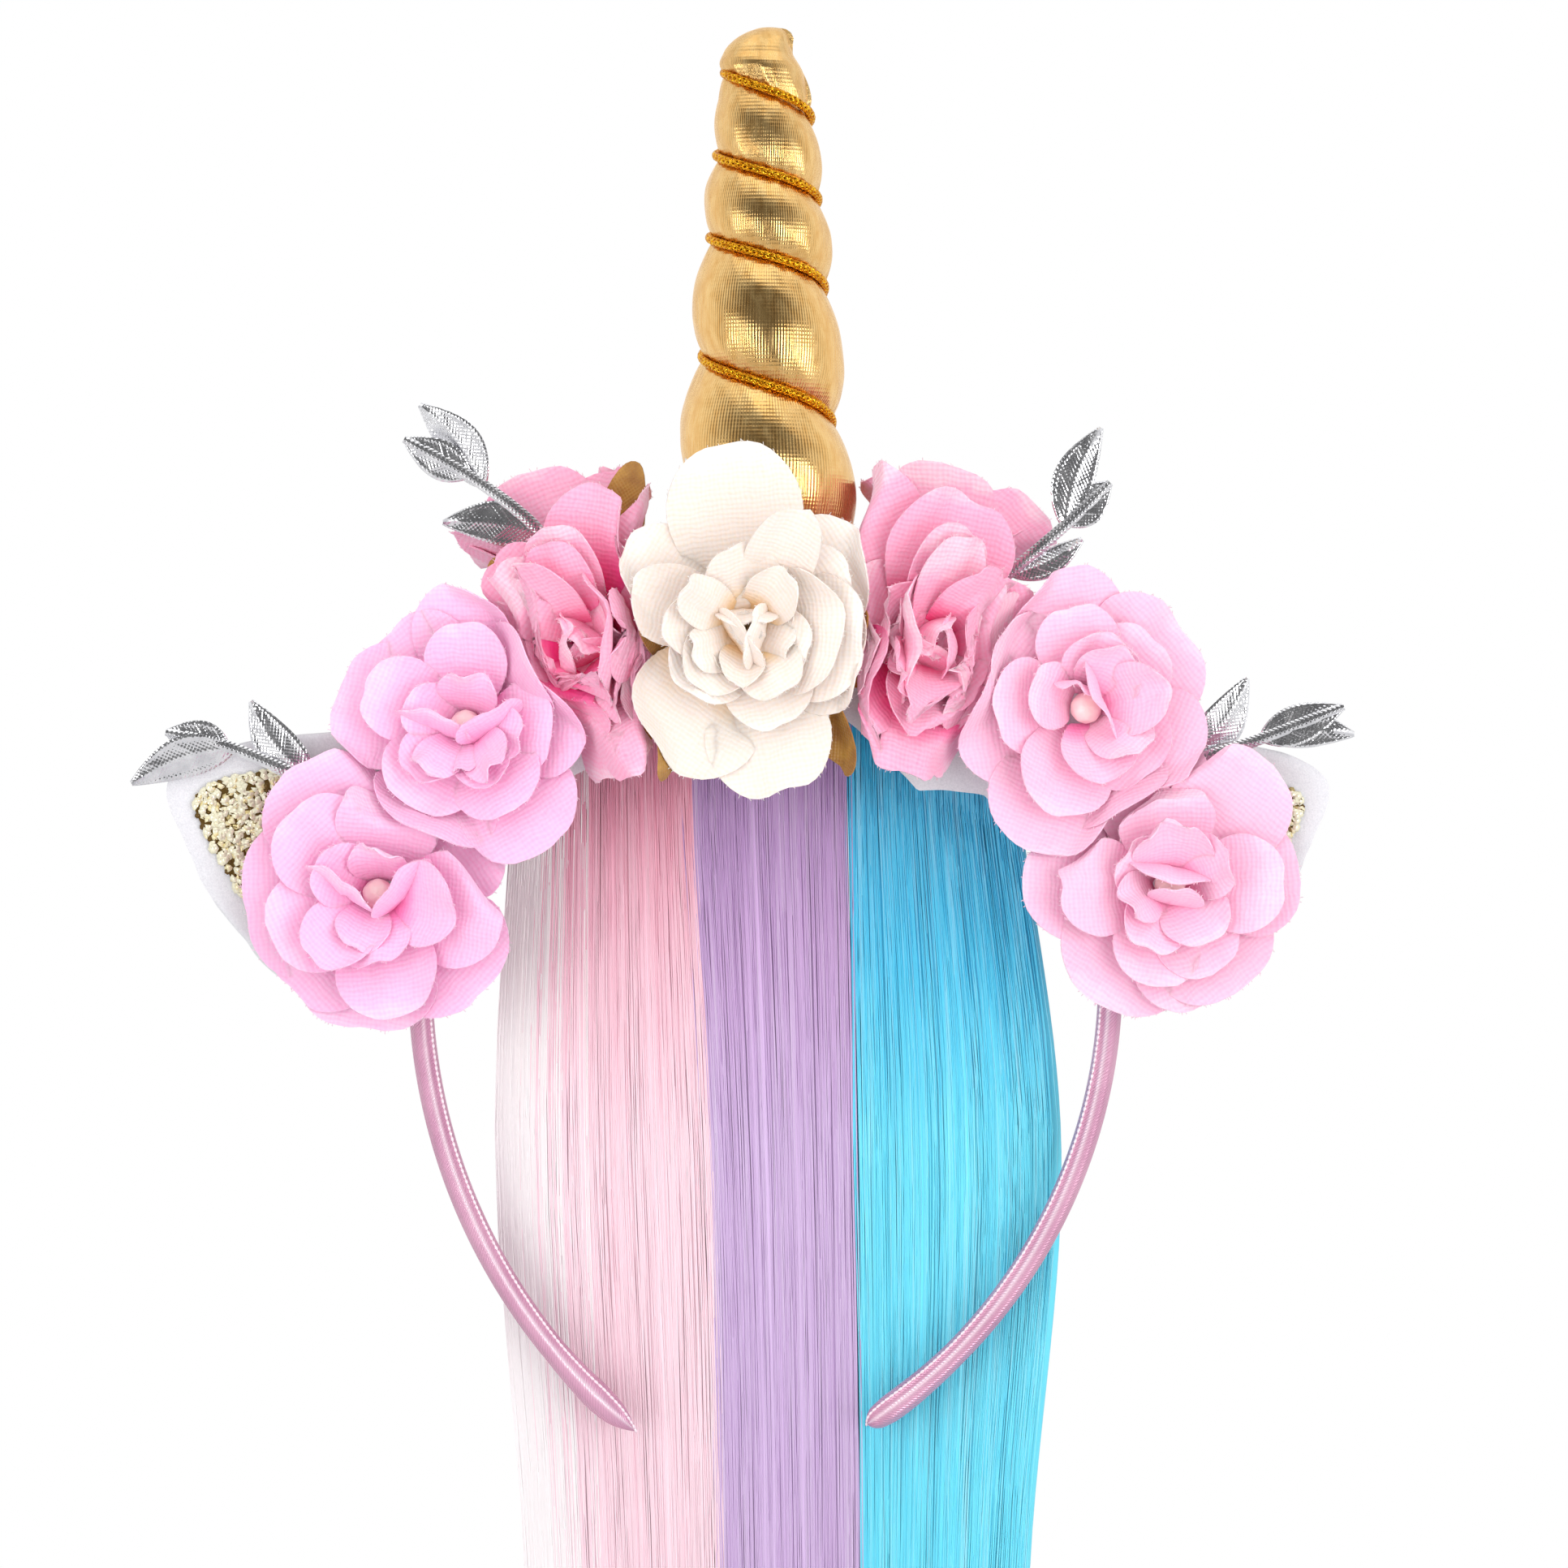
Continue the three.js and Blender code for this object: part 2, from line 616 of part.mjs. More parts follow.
function hairHank(hank) {
  const rings = HAIR_SECTIONS.map((section) =>
    hankRing(hank, (x) => bandTop(x) + HAIR_RISE - section.drop, section.half, section.y, section.swell));
  for (const level of HAIR_LOWER) {
    rings.push(hankRing(hank, () => level, HAIR_HALF, HAIR_Y, 1));
  }
  rings.push(hankRing(hank, (x, i) => HAIR_END_Z + (i % 2 ? 0 : LOCK_POINT), HAIR_END_HALF, HAIR_Y, 0));
  return loft(rings);
}
for (const hank of HANKS) addMesh(part, hank.name, hairHank(hank), hank.name);

// Roses: nested petal layers round an axis, each a cup of lobes
// hub: radius of the flat middle, lift: its height, opens: degrees from the axis at the hub and at the rim.
const LAYERS = {
  side: [
    { piece: "outer", lobes: 5, hub: 7, lift: 0.9, length: 21.5, opens: [60, 88], notch: 0.26, spin: 0 },
    { piece: "middle", lobes: 5, hub: 5.6, lift: 2.4, length: 16.5, opens: [38, 68], notch: 0.28, spin: 36 },
    { piece: "inner", lobes: 4, hub: 4.2, lift: 3.9, length: 10.5, opens: [14, 42], notch: 0.3, spin: 10 },
  ],
  mid: [
    { piece: "calyx", lobes: 5, hub: 7.4, lift: 0.9, length: 14, opens: [54, 88], notch: 0.5, spin: 20 },
    { piece: "outer", lobes: 5, hub: 6, lift: 2.4, length: 27, opens: [42, 74], notch: 0.22, spin: 0 },
    { piece: "middle", lobes: 5, hub: 4.6, lift: 3.9, length: 20, opens: [26, 54], notch: 0.25, spin: 36 },
    { piece: "inner", lobes: 4, hub: 3.2, lift: 5.4, length: 14, opens: [8, 34], notch: 0.25, spin: 15 },
  ],
  white: [
    { piece: "calyx", lobes: 5, hub: 7.4, lift: 0.9, length: 19, opens: [66, 92], notch: 0.5, spin: 54 },
    { piece: "outer", lobes: 5, hub: 6, lift: 2.4, length: 30.5, opens: [58, 84], notch: 0.25, spin: 0 },
    { piece: "middle", lobes: 5, hub: 4.6, lift: 3.9, length: 21, opens: [36, 62], notch: 0.25, spin: 36 },
    { piece: "inner", lobes: 4, hub: 3.2, lift: 5.4, length: 14, opens: [10, 36], notch: 0.25, spin: 10 },
  ],
  back: [
    { piece: "outer", lobes: 5, hub: 5.4, lift: 0.9, length: 26, opens: [24, 46], notch: 0.25, spin: 0 },
    { piece: "inner", lobes: 4, hub: 4, lift: 2.4, length: 20, opens: [6, 28], notch: 0.25, spin: 36 },
  ],
};
const SEAT_Y = FELT_FRONT_Y - GAP;
const WHITE_Y = -15.8; // the white rose stands in front of the horn on a stalk
const BACK_Y = FELT_BACK_Y + GAP + 5.9; // the roses behind stand against the back of the felt
const ROSES = [
  {
    name: "rose_white", style: "white", slot: "petal_white",
    at: [-3.4, WHITE_Y, 2.6], axis: [0, -1, 0], spin: 90,
  },
  {
    name: "rose_mid_left", style: "mid", slot: "petal_rose",
    at: [-32.6, SEAT_Y, -0.6], axis: [-0.3, -0.9, 0.02], spin: 80,
  },
  {
    name: "rose_mid_right", style: "mid", slot: "petal_rose",
    at: [29.2, SEAT_Y, -0.6], axis: [0.3, -0.9, 0.02], spin: 100,
  },
  {
    name: "rose_upper_left", style: "side", slot: "petal_lilac",
    at: [-57, SEAT_Y, -16.6], axis: [-0.15, -1, 0.08], spin: 75,
  },
  {
    name: "rose_upper_right", style: "side", slot: "petal_blush",
    at: [61.2, SEAT_Y, -13.2], axis: [0.15, -1, 0.08], spin: 95,
  },
  {
    name: "rose_lower_left", style: "side", slot: "petal_lilac",
    at: [-74.4, SEAT_Y, -48.8], axis: [-0.1, -1, 0], spin: 20,
  },
  {
    name: "rose_lower_right", style: "side", slot: "petal_blush",
    at: [77.9, SEAT_Y, -46.9], axis: [0.1, -1, 0], spin: 60,
  },
  {
    name: "rose_back_left", style: "back", slot: "petal_rose",
    at: [-38, BACK_Y, 12], axis: [-0.28, 0.25, 0.92], spin: 20,
  },
  {
    name: "rose_back_right", style: "back", slot: "petal_rose",
    at: [34, BACK_Y, 12], axis: [0.28, 0.25, 0.92], spin: 50,
  },
];
// Where two roses crowd each other, the first leans over the second.
const CROWDED = [
  { over: "rose_upper_left", under: "rose_lower_left", lean: 0.5 },
  { over: "rose_upper_right", under: "rose_lower_right", lean: 0.5 },
  { over: "rose_upper_left", under: "rose_mid_left", lean: 0.25 },
  { over: "rose_upper_right", under: "rose_mid_right", lean: 0.25 },
  { over: "rose_white", under: "rose_mid_left", lean: 0.7 },
  { over: "rose_white", under: "rose_mid_right", lean: 0.7 },
];
const STEM_ROOM = LEAF_THICK + 2 * GAP; // under the petals that a sprig's stem passes
const CROWD_DEPTH = 9; // the dividing plane is set this far in front of the seats
const BACK_ROSE_X = 20; // the roses behind keep this far from the middle, clear of the horn
const HORN_AWAY = { x: 0.8, y: -0.6 }; // way from the horn in which the roses beside it keep clear
const HORN_ROOM = 19.8;
const CALYX_POWER = 1; // points its lobes
const PETAL_POWER = 2.6; // rounds its lobes
const LAYER_STEP = PETAL_THICK + 3 * GAP; // between layers that lie on the same plane
const PETAL_STEPS = 8;
const PETAL_RINGS = [0.5, 1];
const POINTS_PER_LOBE = 4;

for (const rose of ROSES) {
  rose.centre = vec(...rose.at);
  rose.axis = vec(...rose.axis).normalize();
  if (rose.style === "back") continue;
  const tilt = Math.sqrt(1 - rose.axis.dot(FRONT) ** 2);
  rose.centre.addScaledVector(FRONT, LAYERS[rose.style][0].hub * tilt);
}

// Planes that a rose's petals stay behind: neighbours, the felt and the horn.
function rosePlanes(rose) {
  const planes = [];
  const keepBehind = (normal, point) => {
    planes.push(new THREE.Plane().setFromNormalAndCoplanarPoint(normal.normalize(), point));
  };
  for (const pair of CROWDED) {
    if (rose.name !== pair.over && rose.name !== pair.under) continue;
    const [over, under] = [pair.over, pair.under].map((name) => ROSES.find((other) => other.name === name));
    const way = under.centre.clone().sub(over.centre).setY(0).normalize();
    const middle = over.centre.clone().lerp(under.centre, 0.5).setY(SEAT_Y - CROWD_DEPTH);
    const normal = way.clone().addScaledVector(FRONT, -pair.lean);
    keepBehind(rose === over ? normal : normal.negate(), middle);
  }
  if (rose.style === "back") {
    const side = Math.sign(rose.centre.x);
    keepBehind(FRONT.clone(), vec(0, FELT_BACK_Y + GAP, 0));
    keepBehind(vec(-side, 0, 0), vec(side * BACK_ROSE_X, 0, 0));
  } else {
    const room = rose.style === "mid" ? STEM_ROOM : 0;
    keepBehind(FRONT.clone().negate(), vec(0, SEAT_Y - room, 0));
  }
  if (rose.style === "mid") {
    const away = vec(Math.sign(rose.centre.x) * HORN_AWAY.x, HORN_AWAY.y, 0);
    keepBehind(away.clone().negate(), vec(0, HORN_Y, 0).addScaledVector(away, HORN_ROOM));
  }
  return planes;
}

function lobeShare(layer, angle) {
  const turns = (layer.lobes * (angle - rad(layer.spin))) / (2 * Math.PI) + 0.5;
  return Math.abs(2 * (turns - Math.floor(turns)) - 1);
}

// One line of a petal from the hub to the rim; it turns up along a plane that it meets.
function petalLine(layer, angle, planes, margin) {
  const fromTip = lobeShare(layer, angle);
  const power = layer.piece === "calyx" ? CALYX_POWER : PETAL_POWER;
  const step = (layer.length * (1 - layer.notch * fromTip ** power)) / PETAL_STEPS;
  const out = vec(Math.cos(angle), Math.sin(angle), 0);
  const point = out.clone().multiplyScalar(layer.hub).setZ(layer.lift);
  const line = [point.clone()];
  for (let i = 0; i < PETAL_STEPS; i++) {
    const open = rad(lerp(layer.opens[0], layer.opens[1], (i + 0.5) / PETAL_STEPS));
    const way = out.clone().multiplyScalar(Math.sin(open)).addScaledVector(UP, Math.cos(open));
    for (const plane of planes) {
      const past = plane.distanceToPoint(point) + step * way.dot(plane.normal) + margin;
      if (past > 0) way.addScaledVector(plane.normal, -past / step);
    }
    way.setLength(step);
    point.add(way);
    for (const plane of planes) {
      const past = plane.distanceToPoint(point) + margin;
      if (past > 0) point.addScaledVector(plane.normal, -past);
    }
    line.push(point.clone());
  }
  return line;
}

function petalLayer(layer, planes, margin) {
  const count = layer.lobes * POINTS_PER_LOBE;
  const lines = [];
  for (let i = 0; i < count; i++) {
    const angle = rad(layer.spin) + (2 * Math.PI * i) / count;
    lines.push(petalLine(layer, angle, planes, margin));
  }
  const rings = [0, ...PETAL_RINGS].map((share) => lines.map((line) => line[share * PETAL_STEPS]));
  return thicken(disc(vec(0, 0, layer.lift), rings), PETAL_THICK);
}

const BEAD_RADIUS = 3;
const BEAD_SEGMENTS = { around: 8, down: 5 };
const STALK_RADIUS = 2.2;
const STALK_SIDES = 12;

for (const rose of ROSES) {
  const group = new THREE.Group();
  group.name = rose.name;
  group.position.copy(rose.centre);
  group.quaternion.setFromUnitVectors(UP, rose.axis);
  group.quaternion.multiply(new THREE.Quaternion().setFromAxisAngle(UP, rad(rose.spin)));
  group.updateMatrix();
  const inverse = group.matrix.clone().invert();
  const planes = rosePlanes(rose).map((plane) => plane.applyMatrix4(inverse));
  const layers = LAYERS[rose.style];
  layers.forEach((layer, depth) => {
    const margin = PETAL_THICK / 2 + GAP + depth * LAYER_STEP;
    let geometry = petalLayer(layer, planes, margin);
    if (rose.style === "white" && depth === 0) {
      const length = SEAT_Y - WHITE_Y + layer.lift;
      const stalk = new THREE.CylinderGeometry(STALK_RADIUS, STALK_RADIUS, length, STALK_SIDES);
      stalk.rotateX(Math.PI / 2).translate(0, 0, layer.lift - length / 2);
      geometry = join([geometry, welded(stalk)]);
    }
    const slot = layer.piece === "calyx" ? "calyx_bronze" : rose.slot;
    addMesh(group, `${rose.name}_${layer.piece}`, geometry, slot);
  });
  if (rose.style === "side") {
    const bead = new THREE.SphereGeometry(BEAD_RADIUS, BEAD_SEGMENTS.around, BEAD_SEGMENTS.down);
    bead.translate(0, 0, layers.at(-1).lift + PETAL_THICK / 2 + GAP + BEAD_RADIUS);
    addMesh(group, `${rose.name}_bead`, bead, "bead_cream");
  }
  part.add(group);
}

export default part;
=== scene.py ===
# %% [markdown]
# # Unicorn headband
# A satin-wrapped alice band carries a stuffed gold horn, felt ears with glitter insets, nine cloth roses,
# four silver leaf sprigs and a curtain of straight coloured hair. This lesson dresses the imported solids
# piece by piece. Everything is drawn in the frame's own axes, so each piece is made where its solid
# stands. Sizes of the part are in millimetres and become metres where a mesh is made.

# %% Load the frame
import math
import bpy
import numpy as np
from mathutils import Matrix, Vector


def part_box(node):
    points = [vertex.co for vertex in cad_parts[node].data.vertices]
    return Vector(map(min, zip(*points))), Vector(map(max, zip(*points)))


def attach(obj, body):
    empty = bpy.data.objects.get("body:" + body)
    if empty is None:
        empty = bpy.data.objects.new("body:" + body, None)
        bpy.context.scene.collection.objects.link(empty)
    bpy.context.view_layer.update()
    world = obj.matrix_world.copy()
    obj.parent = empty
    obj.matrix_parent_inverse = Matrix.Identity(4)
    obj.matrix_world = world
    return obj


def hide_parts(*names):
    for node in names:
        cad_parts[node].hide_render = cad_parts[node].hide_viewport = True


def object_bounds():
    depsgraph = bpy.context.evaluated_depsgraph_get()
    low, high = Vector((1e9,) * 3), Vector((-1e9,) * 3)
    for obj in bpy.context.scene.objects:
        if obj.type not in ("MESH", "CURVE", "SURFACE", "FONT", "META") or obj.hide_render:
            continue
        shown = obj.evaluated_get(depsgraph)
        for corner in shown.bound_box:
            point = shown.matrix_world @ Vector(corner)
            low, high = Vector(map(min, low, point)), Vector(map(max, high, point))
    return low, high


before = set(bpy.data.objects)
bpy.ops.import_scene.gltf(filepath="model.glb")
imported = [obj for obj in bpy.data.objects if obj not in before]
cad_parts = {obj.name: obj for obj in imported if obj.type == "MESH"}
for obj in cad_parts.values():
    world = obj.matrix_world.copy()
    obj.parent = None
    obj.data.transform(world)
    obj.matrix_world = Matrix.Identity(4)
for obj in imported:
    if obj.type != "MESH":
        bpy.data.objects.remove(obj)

MM = 0.001
CAD_BOX = [list(corner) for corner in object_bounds()]
print("nodes in the frame:", len(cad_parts))

# %% [markdown]
# ## Camera, floor and light
# The picture shows the part straight from the front, as a long lens does, so the camera looks along +Y
# from one metre. One pixel of the 1932-pixel picture is 0.16 mm in the plane of the band.
# The part is lit like a catalogue picture, in a white room. Large soft boxes light the cloth alone and
# narrow strips the shine alone, because metal wants sharp highlights where cloth wants soft shade. In
# reflections the room is dim where the camera stands, so that the gold and the silver have something
# dark to mirror.

# %% Camera
PIXEL = 0.16
PICTURE = 1932
VIEW_DISTANCE = 1000.0
VIEW_CENTRE = (3.68, -27.36)
SENSOR = 36.0

camera_data = bpy.data.cameras.new("camera")
camera_data.sensor_width = SENSOR
camera_data.lens = SENSOR * VIEW_DISTANCE / (PIXEL * PICTURE)
camera = bpy.data.objects.new("camera", camera_data)
camera.location = (VIEW_CENTRE[0] * MM, -VIEW_DISTANCE * MM, VIEW_CENTRE[1] * MM)
camera.rotation_euler = (math.pi / 2, 0, 0)
bpy.context.scene.collection.objects.link(camera)
bpy.context.scene.camera = camera
bpy.context.scene.view_settings.view_transform = "Standard"
print("lens", round(camera_data.lens, 1), "mm")


# %% White room and lamps
# Way of the light along Y: straight from the camera's side, and where the other sides begin.
CAMERA_SIDE = (-0.8, 0.0)
# Lamp, in metres and watts: place, aim, width and height, power, if it lights the cloth and the metal.
LAMPS = {
    "strip_left": ((-0.74, -1.0, -0.12), (0, 0, 0.02), (0.17, 0.6), 3.8, False, True),
    "strip_right": ((0.84, -1.0, -0.1), (0, 0, 0.02), (0.25, 0.64), 6.0, False, True),
    "soft_box_left": ((-0.74, -1.0, -0.12), (0, 0, 0.02), (1.0, 1.0), 3.8, True, False),
    "soft_box_right": ((0.84, -1.0, -0.1), (0, 0, 0.02), (1.0, 1.0), 5.8, True, False),
    "soft_box_top": ((0.1, -0.6, 1.1), (0, 0, 0), (0.9, 0.5), 2.0, True, True),
}


def studio_world(cloth_light, mirror_light):
    """A white room. Each pair is the light from its sides and from the camera's side."""
    world = bpy.data.worlds.new("studio")
    bpy.context.scene.world = world
    world.use_nodes = True
    world.cycles.sampling_method = "NONE"
    nodes, links = world.node_tree.nodes, world.node_tree.links
    nodes.clear()
    place = nodes.new("ShaderNodeTexCoord")
    parts = nodes.new("ShaderNodeSeparateXYZ")
    path = nodes.new("ShaderNodeLightPath")
    ramp = nodes.new("ShaderNodeMapRange")
    ramp.interpolation_type = "SMOOTHSTEP"
    ramp.inputs["From Min"].default_value = CAMERA_SIDE[0]
    ramp.inputs["From Max"].default_value = CAMERA_SIDE[1]
    for label, cloth_value, mirror_value in zip(("To Max", "To Min"), cloth_light, mirror_light):
        choice = nodes.new("ShaderNodeMapRange")
        choice.inputs["To Min"].default_value = cloth_value
        choice.inputs["To Max"].default_value = mirror_value
        links.new(path.outputs["Is Glossy Ray"], choice.inputs["Value"])
        links.new(choice.outputs["Result"], ramp.inputs[label])
    room = nodes.new("ShaderNodeBackground")
    seen = nodes.new("ShaderNodeBackground")
    mix = nodes.new("ShaderNodeMixShader")
    out = nodes.new("ShaderNodeOutputWorld")
    seen.inputs["Color"].default_value = (1, 1, 1, 1)
    links.new(place.outputs["Generated"], parts.inputs["Vector"])
    links.new(parts.outputs["Y"], ramp.inputs["Value"])
    links.new(ramp.outputs["Result"], room.inputs["Strength"])
    links.new(path.outputs["Is Camera Ray"], mix.inputs["Fac"])
    links.new(room.outputs["Background"], mix.inputs[1])
    links.new(seen.outputs["Background"], mix.inputs[2])
    links.new(mix.outputs["Shader"], out.inputs["Surface"])


def soft_box(name, place, aim, size, watts, for_cloth, for_metal):
    """A lamp behind a white sheet; a small one can light the metal alone and a large one the cloth."""
    light = bpy.data.lights.new(name, "AREA")
    light.shape = "RECTANGLE"
    light.size, light.size_y = size
    light.energy = watts
    lamp = bpy.data.objects.new(name, light)
    lamp.location = place
    way = np.array(aim) - np.array(place)
    lamp.rotation_euler = (math.atan2(math.hypot(way[0], way[1]), -way[2]), 0, math.atan2(-way[0], way[1]))
    lamp.visible_diffuse = for_cloth
    lamp.visible_glossy = for_metal
    bpy.context.scene.collection.objects.link(lamp)


studio_world(cloth_light=(0.7, 1.4), mirror_light=(1.3, 0.14))
for name, lamp in LAMPS.items():
    soft_box(name, *lamp)
print("studio light ready")

# %% Floor
FLOOR_DROP = 3.0
FLOOR_RADIUS = 620.0


def floor_disc():
    corners = 64
    turn = np.linspace(0, 2 * math.pi, corners, endpoint=False)
    height = CAD_BOX[0][2] / MM - FLOOR_DROP
    ring = np.stack([FLOOR_RADIUS * np.cos(turn), FLOOR_RADIUS * np.sin(turn), np.full(corners, height)], 1)
    mesh = bpy.data.meshes.new("floor")
    mesh.from_pydata((ring * MM).tolist(), [], [list(range(corners))])
    floor = bpy.data.objects.new("floor", mesh)
    bpy.context.scene.collection.objects.link(floor)
    return floor


floor = floor_disc()
print("floor at", round(CAD_BOX[0][2] / MM - FLOOR_DROP, 1), "mm")

# %% [markdown]
# ## Helpers for meshes
# Most pieces are cloth: a grid of points along the middle of the cloth, given a wall and a closed rim.
# A small bag of arrays collects such grids, so one object can hold many petals. Every point also carries
# its place on the flat cloth in millimetres as a UV, so a weave keeps its size on any piece.

# %% Closed cloth from a grid
RIPPLE_WAVES = 5
RIPPLE_SPAN = 1.6


def unit(vectors):
    return vectors / np.maximum(np.linalg.norm(vectors, axis=-1, keepdims=True), 1e-9)


def grid_normals(grid):
    return unit(np.cross(np.gradient(grid, axis=1), np.gradient(grid, axis=0)))


def grid_quads(rows, columns, start=0, closed=False):
    i, j = np.meshgrid(np.arange(rows - 1), np.arange(columns if closed else columns - 1), indexing="ij")
    here = i * columns + j
    beside = i * columns + (j + 1) % columns
    return np.stack([here, beside, beside + columns, here + columns], -1).reshape(-1, 4) + start


def rim_edges(rows, columns):
    index = np.arange(rows * columns).reshape(rows, columns)
    loop = np.concatenate([index[0, :-1], index[:-1, -1], index[-1, :0:-1], index[:0:-1, 0]])
    return loop, np.roll(loop, -1)


def cloth(grid, thickness, flat, **values):
    """Arrays of a closed wall round a grid of points: half of the thickness on either side."""
    rows, columns = grid.shape[:2]
    count = rows * columns
    half = grid_normals(grid) * np.asarray(thickness)[..., None] / 2
    points = np.concatenate([(grid + half).reshape(-1, 3), (grid - half).reshape(-1, 3)])
    front = grid_quads(rows, columns)
    first, after = rim_edges(rows, columns)
    rim = np.stack([after, first, first + count, after + count], 1)
    quads = np.concatenate([front, front[:, ::-1] + count, rim])
    part = {"points": points, "quads": quads, "flat": np.tile(flat.reshape(-1, 2), (2, 1))}
    for name, value in values.items():
        part[name] = np.tile(np.broadcast_to(value, (rows, columns)).reshape(-1), 2)
    return part


def pack(parts):
    """Joins arrays of several cloth parts into one."""
    starts = np.cumsum([0] + [len(part["points"]) for part in parts])
    joined = {}
    for name in parts[0]:
        is_face = name == "quads"
        shifted = [part[name] + is_face * start for part, start in zip(parts, starts)]
        joined[name] = np.concatenate(shifted)
    return joined


def end_fans(rows, columns, hubs):
    """Triangles that close both ends of a tube of rings, round one middle point each."""
    here = np.arange(columns)
    beside = (here + 1) % columns
    last = (rows - 1) * columns
    near = np.stack([np.full(columns, hubs[0]), beside, here], 1)
    far = np.stack([np.full(columns, hubs[1]), here + last, beside + last], 1)
    return np.concatenate([near, far])


def tube(grid, flat):
    """Arrays of a closed tube through rings of points, one ring a row."""
    rows, columns = grid.shape[:2]
    count = rows * columns
    points = np.concatenate([grid.reshape(-1, 3), grid[[0, -1]].mean(axis=1)])
    flat = flat.reshape(-1, 2)
    quads = grid_quads(rows, columns, closed=True)
    fans = end_fans(rows, columns, (count, count + 1))
    a, b, c, d = (points[quads[:, k]] for k in range(4))
    if np.einsum("ij,ij->", np.cross(a, b), c) + np.einsum("ij,ij->", np.cross(a, c), d) < 0:
        quads, fans = quads[:, ::-1], fans[:, ::-1]
    return {"points": points, "quads": quads, "fans": fans, "flat": np.vstack([flat, flat[:1], flat[-1:]])}


def make_piece(name, part, material, crease=60):
    mesh = bpy.data.meshes.new(name)
    faces = part["quads"].tolist() + part.get("fans", np.empty((0, 3), int)).tolist()
    mesh.from_pydata((part["points"] * MM).tolist(), [], faces)
    corner = np.empty(len(mesh.loops), dtype=np.int32)
    mesh.loops.foreach_get("vertex_index", corner)
    for key, value in part.items():
        if key == "flat":
            mesh.uv_layers.new(name="flat").data.foreach_set("uv", value[corner].astype(np.float32).ravel())
        elif key not in ("points", "quads", "fans"):
            mesh.attributes.new(key, "FLOAT", "POINT").data.foreach_set("value", value.astype(np.float32))
    mesh.shade_smooth()
    if crease:
        mesh.set_sharp_from_angle(angle=math.radians(crease))
    mesh.materials.append(material)
    piece = bpy.data.objects.new(name, mesh)
    bpy.context.scene.collection.objects.link(piece)
    return piece


def dress(piece, slot, *nodes):
    """The finished piece moves with the band and stands for its solids, which it hides. The slot is not
    used.
    """
    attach(piece, "root")
    if nodes:
        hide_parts(*nodes)
    print(piece.name, len(piece.data.polygons), "faces")


def smooth_table(xs, ys, x):
    """Catmull-Rom curve through the rows of a table, read at x."""
    xs, ys, x = np.asarray(xs, float), np.asarray(ys, float), np.asarray(x, float)
    slope = np.gradient(ys, xs)
    i = np.clip(np.searchsorted(xs, x) - 1, 0, len(xs) - 2)
    gap = xs[i + 1] - xs[i]
    t = np.clip((x - xs[i]) / gap, 0, 1)
    a = (1 + 2 * t) * (1 - t) ** 2 * ys[i] + t * (1 - t) ** 2 * gap * slope[i]
    b = t * t * (3 - 2 * t) * ys[i + 1] + t * t * (t - 1) * gap * slope[i + 1]
    return a + b


def ripple(x, seed, scale):
    """Soft noise of one number, between about -1 and 1."""
    rng = np.random.default_rng(seed)
    total = np.zeros_like(np.asarray(x, float))
    for step in range(1, RIPPLE_WAVES + 1):
        total = total + rng.normal() / step * np.sin(x * step / scale + rng.uniform(0, 2 * math.pi))
    return total / RIPPLE_SPAN


print("mesh helpers ready")

# %% [markdown]
# ## Finishes
# Every finish is a small node tree on the Principled shader. What is the same all over the surface is set
# on the shader's own socket. What changes, such as the weave, the dye and painted shade that pale towards a
# petal's rim or the streaks of hair, is made by nodes from the flat cloth's UV, from an attribute or from
# the place.

# %% Node helpers
RIB_WANDER = 1.6
RIB_ACROSS = 0.6
RIB_ALONG = 0.4


def node_in(tree, kind, inputs=None, **settings):
    node = tree.nodes.new(kind)
    for label, value in settings.items():
        setattr(node, label, value)
    for key, value in (inputs or {}).items():
        if isinstance(value, bpy.types.NodeSocket):
            tree.links.new(value, node.inputs[key])
        else:
            node.inputs[key].default_value = value
    return node


def tree_math(tree, operation, *values):
    return node_in(tree, "ShaderNodeMath", dict(enumerate(values)), operation=operation).outputs[0]


